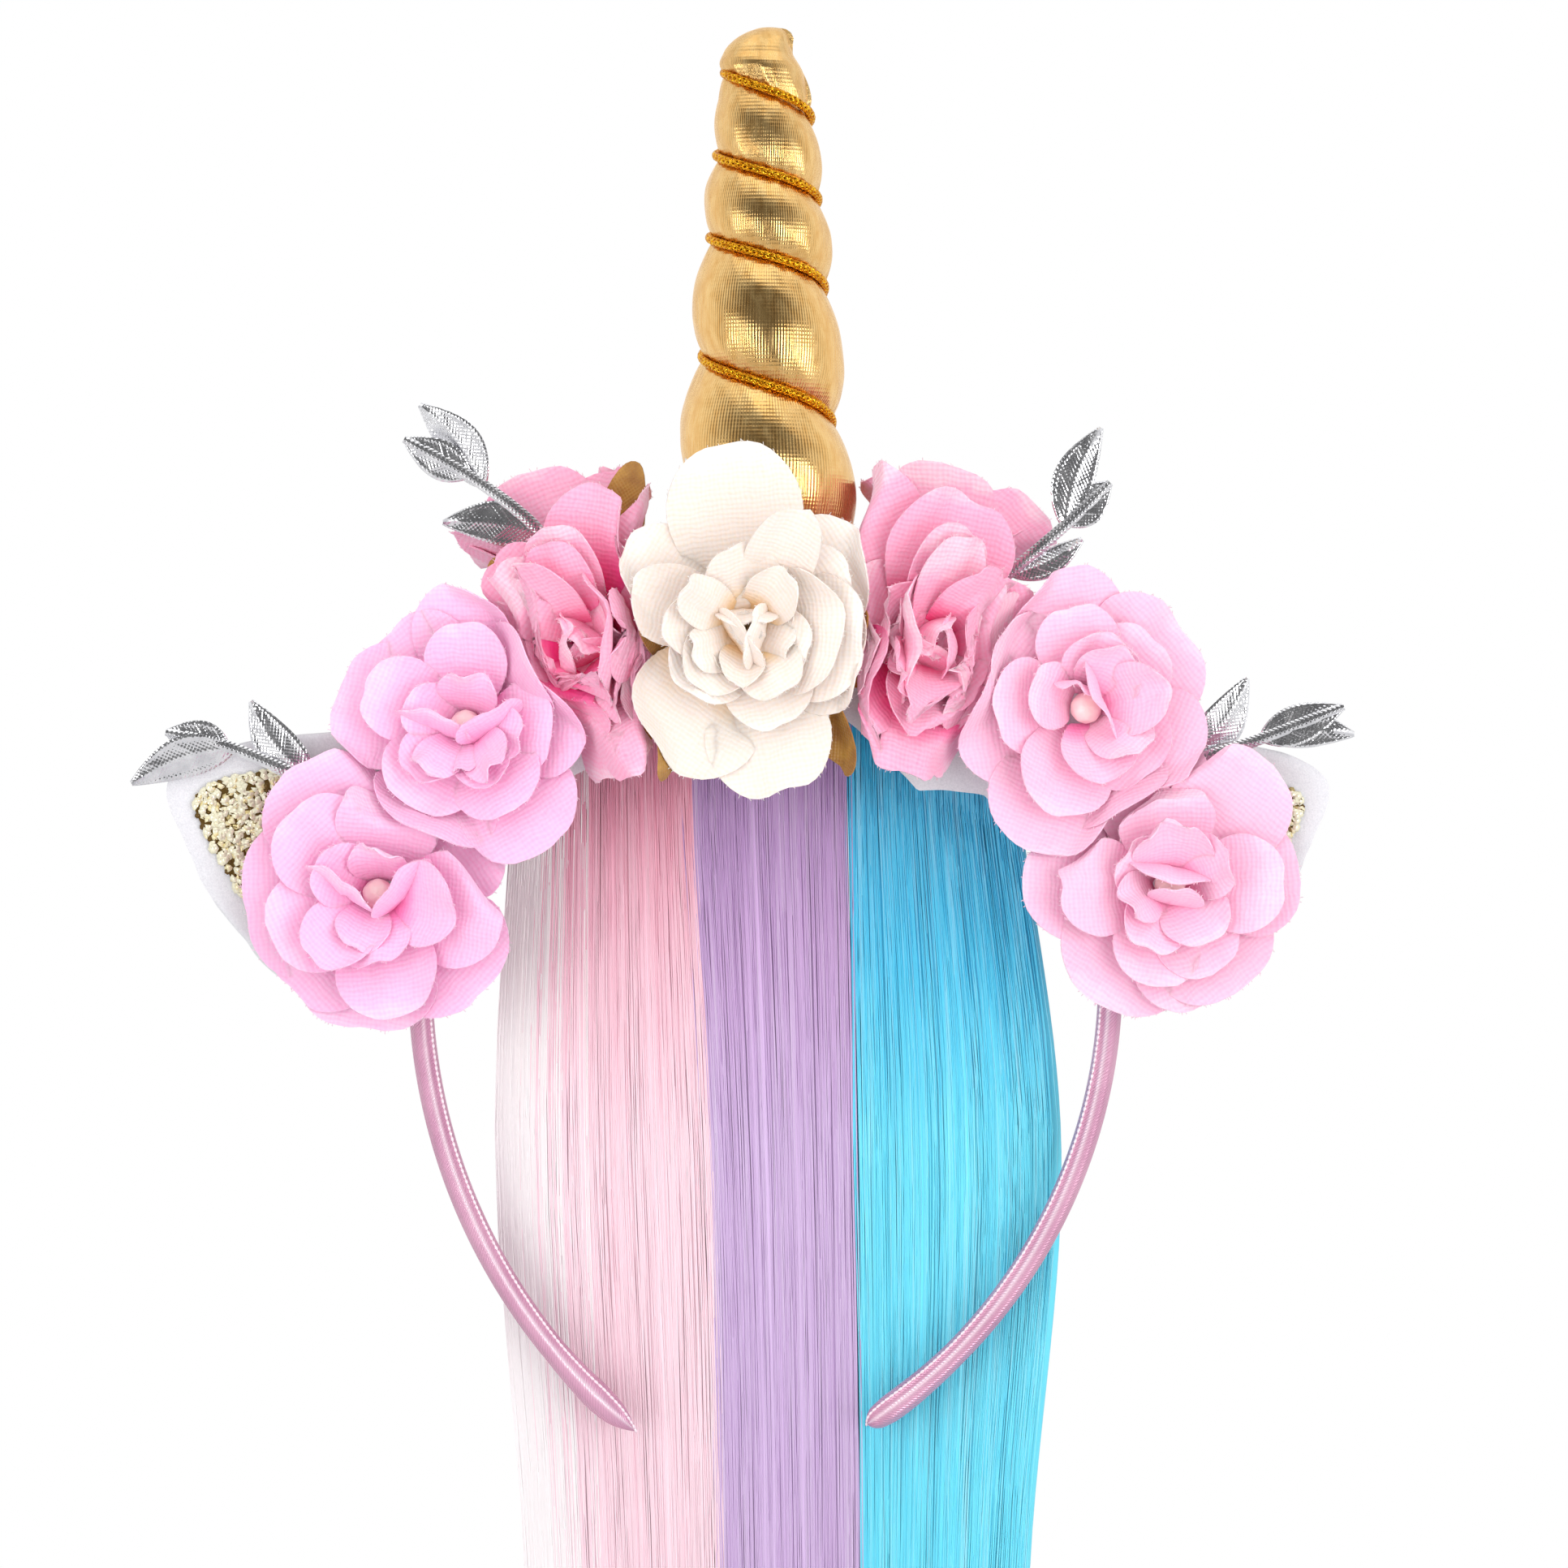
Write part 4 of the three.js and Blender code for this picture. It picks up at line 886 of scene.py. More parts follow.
def grown(name, source, tree, **values):
    """Runs a tree on a source object and keeps the result as a plain mesh of a new object."""
    modifier = source.modifiers.new(tree.name, "NODES")
    modifier.node_group = tree
    labels = {label.replace("_", " ").capitalize(): value for label, value in values.items()}
    for item in tree.interface.items_tree:
        if item.in_out == "INPUT" and item.name in labels:
            modifier[item.identifier] = labels[item.name]
    depsgraph = bpy.context.evaluated_depsgraph_get()
    ready = source.evaluated_get(depsgraph)
    mesh = bpy.data.meshes.new_from_object(ready, preserve_all_data_layers=True, depsgraph=depsgraph)
    bpy.data.objects.remove(source)
    mesh.name = name
    mesh.shade_smooth()
    piece = bpy.data.objects.new(name, mesh)
    bpy.context.scene.collection.objects.link(piece)
    return piece


def path_object(name, lines, **values):
    """A mesh of bare edges, one chain for each line of points, for a tree to follow."""
    mesh = bpy.data.meshes.new(name)
    points = np.concatenate(lines)
    ends = np.cumsum([len(line) for line in lines])
    first = np.setdiff1d(np.arange(len(points)), ends - 1)
    mesh.from_pydata((points * MM).tolist(), np.stack([first, first + 1], 1).tolist(), [])
    for key, value in values.items():
        mesh.attributes.new(key, "FLOAT", "POINT").data.foreach_set("value", np.asarray(value, np.float32))
    source = bpy.data.objects.new(name, mesh)
    bpy.context.scene.collection.objects.link(source)
    return source


def braid_tree():
    sockets = [("Threads", "Int"), ("Thread radius", "Float"), ("Ring radius", "Float")]
    sockets += [("Pitch", "Float"), ("Step", "Float"), ("Material", "Material")]
    tree, given, out = new_tree("braid", sockets)
    curve = node_in(tree, "GeometryNodeMeshToCurve", {"Mesh": given.outputs["Geometry"]}).outputs[0]
    inputs = {"Curve": curve, "Length": given.outputs["Step"]}
    even = node_in(tree, "GeometryNodeResampleCurve", inputs, mode="LENGTH").outputs[0]
    inputs = {"Geometry": even, "Amount": given.outputs["Threads"]}
    copies = node_in(tree, "GeometryNodeDuplicateElements", inputs, domain="SPLINE")
    number = copies.outputs["Duplicate Index"]
    hand = tree_math(tree, "MULTIPLY_ADD", tree_math(tree, "MODULO", number, 2.0), 2.0, -1.0)
    along = node_in(tree, "GeometryNodeSplineParameter").outputs["Length"]
    turns = tree_math(tree, "MULTIPLY", tree_math(tree, "DIVIDE", along, given.outputs["Pitch"]), hand)
    start = tree_math(tree, "DIVIDE", number, given.outputs["Threads"])
    angle = tree_math(tree, "MULTIPLY", tree_math(tree, "ADD", turns, start), 2 * math.pi)
    normal = node_in(tree, "GeometryNodeInputNormal").outputs[0]
    tangent = node_in(tree, "GeometryNodeInputTangent").outputs[0]
    inputs = {"Vector": normal, "Axis": tangent, "Angle": angle}
    spun = node_in(tree, "ShaderNodeVectorRotate", inputs).outputs[0]
    inputs = {0: spun, "Scale": given.outputs["Ring radius"]}
    offset = node_in(tree, "ShaderNodeVectorMath", inputs, operation="SCALE").outputs[0]
    inputs = {"Geometry": copies.outputs[0], "Offset": offset}
    moved = node_in(tree, "GeometryNodeSetPosition", inputs).outputs[0]
    inputs = {"Resolution": 6, "Radius": given.outputs["Thread radius"]}
    profile = node_in(tree, "GeometryNodeCurvePrimitiveCircle", inputs).outputs[0]
    inputs = {"Curve": moved, "Profile Curve": profile, "Fill Caps": True}
    tubes = node_in(tree, "GeometryNodeCurveToMesh", inputs).outputs[0]
    return end_tree(tree, tubes, given, out)


print("braid tree ready")

# %% Wind the cord
CORD_RADIUS = 1.05
CORD_SINK = 0.6
CORD_START = 0.8
CORD_END = 10.1
CORD_STEPS = 500
BRAID = {
    "threads": 8, "thread_radius": 0.31 * MM, "ring_radius": 0.6 * MM, "pitch": 5.2 * MM, "step": 0.55 * MM,
}


def cord_line(steps):
    half_turns = np.linspace(CORD_START, CORD_END, steps)
    z = cord_height(half_turns)
    seat = horn_envelope(z) - groove_depth(z) + CORD_RADIUS + CORD_SINK
    turn = half_turns * math.pi
    return np.stack([seat * np.cos(turn), HORN_Y + seat * np.sin(turn), z], 1)


cord_path = path_object("cord_path", [cord_line(CORD_STEPS)])
cord = grown("braided_cord", cord_path, braid_tree(), **BRAID, material=finishes["cord_gold"])
dress(cord, "cord_gold", "horn_cord")

# %% [markdown]
# ## Stitches on the band
# A row of small stitches closes the ribbon on the inner side of the band. The same kind of path serves:
# a tree walks along it in even steps and sets one slim bead of thread at each step, turned along the path.

# %% Sew the ribbon
STITCH_STEP = 1.1
STITCH_SIZE = 0.32
STITCH_STRETCH = 1.9


def stitch_tree():
    sockets = [("Step", "Float"), ("Size", "Float"), ("Stretch", "Float"), ("Material", "Material")]
    tree, given, out = new_tree("stitches", sockets)
    curve = node_in(tree, "GeometryNodeMeshToCurve", {"Mesh": given.outputs["Geometry"]}).outputs[0]
    inputs = {"Curve": curve, "Length": given.outputs["Step"]}
    walk = node_in(tree, "GeometryNodeCurveToPoints", inputs, mode="LENGTH")
    inputs = {"Segments": 6, "Rings": 5, "Radius": given.outputs["Size"]}
    bead = node_in(tree, "GeometryNodeMeshUVSphere", inputs).outputs["Mesh"]
    scale = node_in(tree, "ShaderNodeCombineXYZ", {"X": 1.0, "Y": 1.0, "Z": given.outputs["Stretch"]})
    inputs = {"Points": walk.outputs["Points"], "Instance": bead, "Rotation": walk.outputs["Rotation"]}
    placed = node_in(tree, "GeometryNodeInstanceOnPoints", {**inputs, "Scale": scale.outputs[0]}).outputs[0]
    # Tone 1 makes every stitch pale pink: partly the thread's own colour, partly a painted highlight along
    # the seam.
    inputs = {"Geometry": placed, "Name": "tone", "Value": 1.0}
    toned = node_in(tree, "GeometryNodeStoreNamedAttribute", inputs, data_type="FLOAT", domain="INSTANCE")
    return end_tree(tree, toned.outputs[0], given, out)


_, band_middle, band_out, band_scale = band_line(BAND_STEPS)
seam_section = np.array([SEAM_PLACE]) * (1 + SEAM_HEIGHT / np.linalg.norm(SEAM_PLACE))
seam_line = on_band(band_middle, band_out, band_scale, seam_section)[:, 0]
seam_path = path_object("seam_path", [seam_line])
stitches = grown(
    "ribbon_stitches", seam_path, stitch_tree(), step=STITCH_STEP * MM, size=STITCH_SIZE * MM,
    stretch=STITCH_STRETCH, material=finishes["satin_pink"],
)
dress(stitches, "satin_pink")

# %% [markdown]
# ## Ears
# Each ear is a plate of thick white felt with a corner that points outwards, and a smaller shape of gold
# glitter cloth glued on it. The outline is a table of reach against angle, read as a smooth curve.
# The glitter is many tiny foil flakes, so Geometry Nodes strew thin hexagons over the front of the cloth.
# Each is a little tilted and carries its own tone; a low tone paints it brown as painted shade, so that some
# shine and some stay brown.

# %% Tree that strews flakes
FLAKE_THICK = 0.05
FLAKE_SIZES = (0.6, 1.2)
FACING_FRONT = -0.5


def flake_tree():
    sockets = [("Density", "Float"), ("Size", "Float"), ("Tilt", "Float"), ("Seed", "Int")]
    tree, given, out = new_tree("flakes", sockets + [("Material", "Material")])
    normal = node_in(tree, "GeometryNodeInputNormal").outputs[0]
    facing = node_in(tree, "ShaderNodeSeparateXYZ", {0: normal}).outputs["Y"]
    inputs = {0: facing, 1: FACING_FRONT}
    front = node_in(tree, "FunctionNodeCompare", inputs, operation="LESS_THAN").outputs[0]
    inputs = {"Mesh": given.outputs["Geometry"], "Selection": front}
    inputs |= {"Density": given.outputs["Density"], "Seed": given.outputs["Seed"]}
    spread = node_in(tree, "GeometryNodeDistributePointsOnFaces", inputs)
    inputs = {"Vertices": 6, "Radius": given.outputs["Size"], "Depth": FLAKE_THICK * MM}
    flake = node_in(tree, "GeometryNodeMeshCylinder", inputs, fill_type="NGON").outputs["Mesh"]
    tilt = given.outputs["Tilt"]
    less = tree_math(tree, "MULTIPLY", tilt, -1.0)
    low = node_in(tree, "ShaderNodeCombineXYZ", {"X": less, "Y": less, "Z": 0.0}).outputs[0]
    high = node_in(tree, "ShaderNodeCombineXYZ", {"X": tilt, "Y": tilt, "Z": 2 * math.pi}).outputs[0]
    inputs = {0: low, 1: high, "Seed": given.outputs["Seed"]}
    tip = node_in(tree, "FunctionNodeRandomValue", inputs, data_type="FLOAT_VECTOR").outputs[0]
    inputs = {"Rotation": spread.outputs["Rotation"], "Rotate By": tip}
    turned = node_in(tree, "FunctionNodeRotateRotation", inputs, rotation_space="LOCAL").outputs[0]
    inputs = {2: FLAKE_SIZES[0], 3: FLAKE_SIZES[1], "Seed": given.outputs["Seed"]}
    size = node_in(tree, "FunctionNodeRandomValue", inputs, data_type="FLOAT").outputs[1]
    inputs = {"Points": spread.outputs["Points"], "Instance": flake, "Rotation": turned, "Scale": size}
    placed = node_in(tree, "GeometryNodeInstanceOnPoints", inputs).outputs[0]
    inputs = {2: 0.0, 3: 1.0, "Seed": given.outputs["Seed"]}
    tone = node_in(tree, "FunctionNodeRandomValue", inputs, data_type="FLOAT").outputs[1]
    inputs = {"Geometry": placed, "Name": "tone", "Value": tone}
    toned = node_in(tree, "GeometryNodeStoreNamedAttribute", inputs, data_type="FLOAT", domain="INSTANCE")
    both = node_in(tree, "GeometryNodeJoinGeometry")
    tree.links.new(toned.outputs[0], both.inputs[0])
    tree.links.new(given.outputs["Geometry"], both.inputs[0])
    return end_tree(tree, both.outputs[0], given, out)


flakes = flake_tree()
print("flake tree ready")

# %% Felt ears and their glitter
EAR_THICK = 3.0
EAR_INNER = 71.2
EAR_Y = -2.25
EAR_ANGLE = [55, 59, 64, 68, 70.3, 72, 75, 79.5, 84, 89, 92.5]
EAR_REACH = [84, 92, 105, 114, 117, 116.4, 112, 106, 98.5, 90, 79]
GLITTER_ANGLE = [63.5, 67, 70, 71.8, 74, 79, 85]
GLITTER_REACH = [92, 102, 109.5, 111, 108, 100, 90.5]
GLITTER_INNER = 84.5
GLITTER_THICK = 0.8
GROUND_THICK = 0.5
GLUE_GAP = 0.1
GLITTER_Y = EAR_Y - EAR_THICK / 2 - GLITTER_THICK / 2 - GLUE_GAP
EAR_GRID = (100, 40)
GLITTER_GRID = (60, 30)
EAR_RIM = 0.6
EAR_WAVER = 0.12
EAR_BEND = 0.0016
EAR_BEND_FROM = 86.0
# Ear: which side, how much longer than the table, and how many degrees lower.
EARS = {"left": (-1, 1.055, 1.0), "right": (1, 1.0, 0.0)}
FLAKES = {"density": 1.7e6, "size": 0.95 * MM, "tilt": 0.16, "seed": 3}


def ear_sheet(angles, reaches, inner, y, side, rows, columns):
    sign, stretch, turn = EARS[side]
    angle = np.linspace(angles[0], angles[-1], rows)[:, None]
    reach = smooth_table(angles, reaches, angle) * stretch + EAR_WAVER * ripple(angle, 8, 1.2)
    radius = inner + (reach - inner) * np.linspace(0, 1, columns)[None, :]
    curl = EAR_BEND * np.clip(radius - EAR_BEND_FROM, 0, None) ** 2
    grid = on_arc(sign * (angle + turn), radius, y - curl)
    flat = np.stack(np.broadcast_arrays(radius * np.radians(angle), radius), -1)
    return grid, flat


for side in EARS:
    ear_points, ear_flat = ear_sheet(EAR_ANGLE, EAR_REACH, EAR_INNER, EAR_Y, side, *EAR_GRID)
    thick = EAR_THICK * soft_edge(*ear_points.shape[:2], EAR_RIM)
    ear = make_piece(f"felt_ear_{side}", cloth(ear_points, thick, ear_flat), finishes["felt_white"])
    dress(ear, "felt_white", f"ear_{side}")
    glitter_cut = (GLITTER_ANGLE, GLITTER_REACH, GLITTER_INNER, GLITTER_Y)
    ground, ground_flat = ear_sheet(*glitter_cut, side, *GLITTER_GRID)
    ground_part = cloth(ground, np.full(ground.shape[:2], GROUND_THICK), ground_flat)
    source = make_piece("glitter_ground", ground_part, finishes["glitter_gold"])
    glitter = grown(f"glitter_{side}", source, flakes, **FLAKES, material=finishes["glitter_gold"])
    dress(glitter, "glitter_gold", f"ear_glitter_{side}")

# %% [markdown]
# ## Leaf sprigs
# The leaves are die-cut from silver foil cloth and pressed, so each has a raised rim, a midrib and slanting
# side veins with pockets between them. A leaf is a grid along its midrib. The pressing is real relief in
# the grid, because foil shows every dent as a change from white to black.

# %% Press the silver leaves
SPRIG_Y = -6.85
SPRIG_LIFT = 0.07
SPRIG_LIFT_FROM = 4.0
STEM_WIDTH = 2.2
LEAF_THICK = 0.6
END_LEAF_WIDTH = 7.0
VEIN_PAIRS = 3.0
PRESS_DEPTH = 0.22
END_LEAF_ROLL = 0.15
STALK_HALF = 0.25
RIM_PLACE = 0.86
RIM_SPREAD = 0.11
RIB_SPREAD = 0.1
VEIN_SLANT = 0.7
VEIN_SPREAD = 0.2
VEIN_SHARE = 0.8
LEAF_KEEL = 0.5
STEM_CROWN = 0.35
# Stem: points (x, z). Leaf: base x, base z, tip x, tip z, width, bow, and roll towards one side.
SPRIGS = {
    "upper_left": {
        "stem": [(-40, 15.8), (-46, 24), (-58, 33), (-70.5, 40)],
        "leaves": [(-55, 31, -67.4, 46.7, 8, -1.5, 0.5), (-43.5, 21, -63, 23.8, 8, -1.5, 0.0)],
    },
    "upper_right": {
        "stem": [(44, 11), (49, 15), (59, 23.5), (67.4, 31.5)],
        "leaves": [(58.5, 23, 65.6, 42.2, 7.6, 1.5, -0.08), (48.5, 13.5, 62, 20.5, 5, -1, 0.3)],
    },
    "lower_left": {
        "stem": [(-74, -32), (-90, -26.2), (-105, -20), (-117, -17.2)],
        "leaves": [(-89, -26, -100.5, -11.2, 8, 1.5, 0.22), (-104, -20.2, -123.7, -27.2, 7.5, -1.5, 0.4)],
    },
    "lower_right": {
        "stem": [(75, -29), (84, -23), (97, -18.5), (113, -12.2)],
        "leaves": [(82.5, -22.5, 94.2, -6.7, 8, -1.5, -0.36), (98, -17.8, 115, -17.6, 6.5, 1, 0.1)],
    },
}


def sprig_height(place, root):
    """A sprig lies against the petals near its root and lifts towards the viewer further out."""
    away = np.linalg.norm(place - root, axis=-1)
    return SPRIG_Y - SPRIG_LIFT * np.clip(away - SPRIG_LIFT_FROM, 0, None), away


def leaf_part(leaf, root, rows=36, columns=23):
    base, tip = np.array(leaf[0:2], float), np.array(leaf[2:4], float)
    width, bow, roll = leaf[4:]
    s = np.linspace(0, 1, rows)[:, None]
    t = np.sin(np.linspace(-1, 1, columns) * math.pi / 2)[None, :]
    length = np.linalg.norm(tip - base)
    way = (tip - base) / length
    side = np.array([-way[1], way[0]])
    half = STALK_HALF + width / 2 * np.sin(math.pi * s**0.8) ** 0.9
    across = t * half + bow * np.sin(math.pi * s)
    place = base + s[..., None] * (tip - base) + across[..., None] * side
    rim = np.exp(-(((np.abs(t) - RIM_PLACE) / RIM_SPREAD) ** 2))
    rib = np.exp(-((t / RIB_SPREAD) ** 2))
    from_vein = np.abs((s * VEIN_PAIRS - np.abs(t) * VEIN_SLANT) % 1.0 - 0.5) * 2
    vein = VEIN_SHARE * np.exp(-(((1 - from_vein) / VEIN_SPREAD) ** 2))
    vein = vein * np.clip((RIM_PLACE - np.abs(t)) * 6, 0, 1)
    relief = np.maximum(np.maximum(rim, rib), vein) * np.sin(math.pi * np.clip(s, 0.02, 0.98)) ** 0.4
    lifted, _ = sprig_height(place, root)
    y = lifted + LEAF_KEEL * np.abs(t) + roll * t * half - PRESS_DEPTH * relief
    grid = np.stack([place[..., 0], y, place[..., 1]], -1)
    flat = np.stack(np.broadcast_arrays(across, s * length), -1)
    return cloth(grid, np.full((rows, columns), LEAF_THICK), flat)


def stem_part(line, rows=60, columns=7):
    line = np.array(line, float)
    last = len(line) - 1
    s = np.linspace(0, last, rows)
    middle = np.stack([smooth_table(np.arange(last + 1), line[:, k], s) for k in (0, 1)], 1)
    way = unit(np.gradient(middle, axis=0))
    side = np.stack([-way[:, 1], way[:, 0]], 1)
    t = np.linspace(-1, 1, columns)[None, :]
    half = STEM_WIDTH / 2 * np.interp(s, [0, last - 0.4, last], [1, 0.85, 0.5])[:, None]
    place = middle[:, None] + side[:, None] * (t * half)[..., None]
    lifted, away = sprig_height(place, line[0])
    grid = np.stack([place[..., 0], lifted - STEM_CROWN * (1 - t**2), place[..., 1]], -1)
    flat = np.stack(np.broadcast_arrays(t * STEM_WIDTH / 2, away), -1)
    return cloth(grid, np.full((rows, columns), LEAF_THICK), flat)


for name, sprig in SPRIGS.items():
    stem, root = sprig["stem"], np.array(sprig["stem"][0], float)
    end_leaf = (*stem[-2], *stem[-1], END_LEAF_WIDTH, 0.0, END_LEAF_ROLL)
    parts = [stem_part(stem)] + [leaf_part(leaf, root) for leaf in sprig["leaves"] + [end_leaf]]
    piece = make_piece(f"silver_sprig_{name}", pack(parts), finishes["leaf_silver"])
    dress(piece, "leaf_silver", f"sprig_{name}")

# %% [markdown]
# ## Hair
# Four hanks of straight synthetic hair hang behind the band. Each hank is a closed body with fine ridges,
# which gives the mass and hides the background, and several hundred real strands that lie on it. The
# strands are made as lines in arrays and turned into thin tubes by a small tree. Their shade comes from
# a value that each strand carries.

# %% Hair finish
HAIR_TURN = (-20, -100)


def hair_finish(name, crown, middle, ends):
    """Shiny fibre: the colour changes slowly with height and quickly from strand to strand."""
    finish = Finish(name, roughness=0.38, specular_ior_level=0.5, anisotropic=0.6, sheen_weight=0.1)
    height = finish.add("ShaderNodeSeparateXYZ", {"Vector": finish.place()}).outputs["Z"]
    limits = {"Value": height, "From Min": HAIR_TURN[1] * MM, "From Max": HAIR_TURN[0] * MM}
    down = finish.add("ShaderNodeMapRange", limits | {"To Min": 1.0, "To Max": 0.0}).outputs["Result"]
    streak = finish.noise(finish.place((1, 1, 0.012)), 620.0, 5.0, 0.7)
    wander = finish.math("ADD", down, finish.math("MULTIPLY_ADD", streak, 0.6, -0.3))
    body = finish.ramp(wander, [(0.0, crown), (0.5, middle), (1.0, ends)])
    tone = finish.math("ADD", finish.value("tone"), finish.math("MULTIPLY_ADD", streak, 1.2, -0.6))
    dark = finish.mix(0.12, body, crown, "MULTIPLY")
    light = finish.mix(0.22, body, (1, 1, 1), "SCREEN")
    shade = finish.mix(finish.ramp(tone, [(0.0, (1, 1, 1)), (0.45, (0, 0, 0))]), body, dark)
    bright = finish.ramp(tone, [(0.55, (0, 0, 0)), (1.0, (1, 1, 1))])
    finish.set("Base Color", finish.mix(bright, shade, light))
    fine = finish.noise(finish.place((1, 1, 0.006)), 2600.0, 3.0)
    finish.set("Normal", finish.bump(fine, 0.08, 0.4))
    return finish.material


# Dye: above the upper height of HAIR_TURN, half-way, and below the lower one.
HAIR_DYES = {
    "hair_white": ((252, 246, 245), (251, 243, 243), (250, 243, 245)),
    "hair_pink": ((236, 150, 176), (251, 200, 216), (252, 220, 231)),
    "hair_lilac": ((178, 134, 192), (202, 164, 214), (208, 178, 222)),
    "hair_blue": ((44, 182, 226), (66, 206, 244), (106, 228, 250)),
}
for slot, dyes in HAIR_DYES.items():
    finishes[slot] = hair_finish(slot, *(linear(*dye) for dye in dyes))
print("hair finishes:", len(HAIR_DYES))

# %% Hanks and strands
HAIR_END = -296.0
HAIR_LEVELS = [-296, -182, -95, -30]
HAIR_DROP = [0, 7, 26]
HAIR_HALF = [1.3, 1.9, 3.6]
HAIR_Y = [5.35, 6.85, 10.4]
HAIR_RISE = 1.4
HAIR_SPREAD = 0.25
HAIR_TOP_REACH = 55.0
STRANDS = 590
STRAND_RADIUS = 0.16
STRAND_SIDES = 3
LOCK_DEPTH = 0.18
HAIR_RIDGE = 0.15
ENDS_FROM = 0.97
LEAST_HALF = 0.5
DROP_POWER = 1.6
LONG_SHARE = 0.7
LONG_REACH = (0.93, 1.0)
SHORT_REACH = (0.75, 0.95)
FRONT_SHARE = 0.62
STRAND_TONES = (0.3, 0.8)
# Hank: locks, the left and the right edge at the four levels from the ends up, and how far
# strands stray over the left and the right neighbour.
HANKS = {
    "white": (2, [-44, -47.5, -53.5, -50], [-39, -42, -46.6, -44.5], (0.0, 6.0)),
    "pink": (5, [-38.4, -41.4, -46, -44], [-8.4, -9.2, -11.6, -15.2], (1.0, 1.2)),
    "lilac": (4, [-7.8, -8.6, -11, -14.7], [18.2, 18.4, 17.2, 16], (1.2, 0.8)),
    "blue": (5, [18.8, 19, 17.8, 16.6], [48.5, 52.5, 58.5, 50], (1.0, 0.0)),
}


def hair_place(hank, u, drop_share):
    """Middle of the hank at a share of its width and of its drop, and its half thickness there."""
    locks, left, right, _ = HANKS[hank]
    x_top = left[3] + (right[3] - left[3]) * u
    top = ARC_Z + np.sqrt(BAND_RADIUS**2 - np.minimum(np.abs(x_top), HAIR_TOP_REACH) ** 2) + HAIR_RISE
    drop = drop_share * (top - HAIR_END)
    z = top - drop
    x = smooth_table(HAIR_LEVELS, left, z) * (1 - u) + smooth_table(HAIR_LEVELS, right, z) * u
    x = x + HAIR_SPREAD * (2 * u - 1)
    y = smooth_table(HAIR_DROP, HAIR_Y, np.minimum(drop, HAIR_DROP[-1]))
    half = smooth_table(HAIR_DROP, HAIR_HALF, np.minimum(drop, HAIR_DROP[-1]))
    lock = np.abs(np.sin(math.pi * u * locks)) ** 0.5
    edge = np.sqrt(np.clip(1 - np.abs(2 * u - 1) ** 8, 0.06, 1))
    return np.stack([x, y, z], -1), half * edge * (1 - LOCK_DEPTH + LOCK_DEPTH * lock)


def drop_rows(rows):
    return np.linspace(0, 1, rows) ** DROP_POWER


def hank_body(hank, seed, rows=48, columns=92):
    u = np.linspace(0, 1, columns)[None, :]
    share = drop_rows(rows)[:, None]
    place, half = hair_place(hank, *np.broadcast_arrays(u, share))
    ridges = ripple(u * 90 + 0.8 * np.sin(share * 3 + seed), seed, 1.0)
    fine = HAIR_RIDGE * ridges * np.clip(share * 6, 0.2, 1)
    tips = np.clip((share - ENDS_FROM) / (1 - ENDS_FROM), 0, 1)
    thickness = 2 * np.maximum(half * (1 - 0.6 * tips) + fine, LEAST_HALF)
    flat = np.stack([place[..., 0], place[..., 2]], -1)
    return cloth(place, thickness, flat, tone=0.5 + 0.2 * ripple(u * 40, seed + 9, 1.0))


def strand_start(hank, rng):
    """Share of the hank's width where a strand hangs; some stray over a neighbour."""
    _, left, right, stray = HANKS[hank]
    side = int(rng.integers(2))
    far = abs(rng.normal()) * stray[side] / (right[2] - left[2])
    return rng.uniform(0.01, 0.99) + (far if side else -far)


def strand_lines(hank, seed, points=14):
    rng = np.random.default_rng(seed)
    share = drop_rows(points)
    stray = HANKS[hank][3]
    least, most = (-0.5 if stray[0] else 0.004), (2.5 if stray[1] else 0.996)
    lines, tones = [], []
    for _ in range(STRANDS):
        u = strand_start(hank, rng)
        reach = rng.uniform(*LONG_REACH) if rng.random() < LONG_SHARE else rng.uniform(*SHORT_REACH)
        drift = rng.normal(0, 0.03) * share + 0.012 * ripple(share * 5, int(rng.integers(1000)), 1.0)
        place, _ = hair_place(hank, np.clip(u + drift, least, most), share * reach)
        half = smooth_table(HAIR_DROP, HAIR_HALF, np.minimum(share * reach * -HAIR_END, HAIR_DROP[-1]))
        front = -1 if rng.random() < FRONT_SHARE else 1
        place[:, 1] += front * (half + rng.uniform(-0.16, 0.08) * np.clip(share * 8, 0, 1))
        lines.append(place)
        tones.append(np.full(points, rng.uniform(*STRAND_TONES)))
    return lines, np.concatenate(tones)


def thread_tree():
    tree, given, out = new_tree("threads", [("Radius", "Float"), ("Material", "Material")])
    curve = node_in(tree, "GeometryNodeMeshToCurve", {"Mesh": given.outputs["Geometry"]}).outputs[0]
    inputs = {"Resolution": STRAND_SIDES, "Radius": given.outputs["Radius"]}
    profile = node_in(tree, "GeometryNodeCurvePrimitiveCircle", inputs).outputs[0]
    inputs = {"Curve": curve, "Profile Curve": profile, "Fill Caps": True}
    tubes = node_in(tree, "GeometryNodeCurveToMesh", inputs).outputs[0]
    return end_tree(tree, tubes, given, out)


threads = thread_tree()
for seed, hank in enumerate(HANKS, start=20):
    slot = f"hair_{hank}"
    body = make_piece(f"hank_{hank}", hank_body(hank, seed), finishes[slot])
    dress(body, slot, slot)
    lines, tones = strand_lines(hank, seed)
    source = path_object("strand_lines", lines, tone=tones)
    strands = grown(f"strands_{hank}", source, threads, radius=STRAND_RADIUS * MM, material=finishes[slot])
    dress(strands, slot)

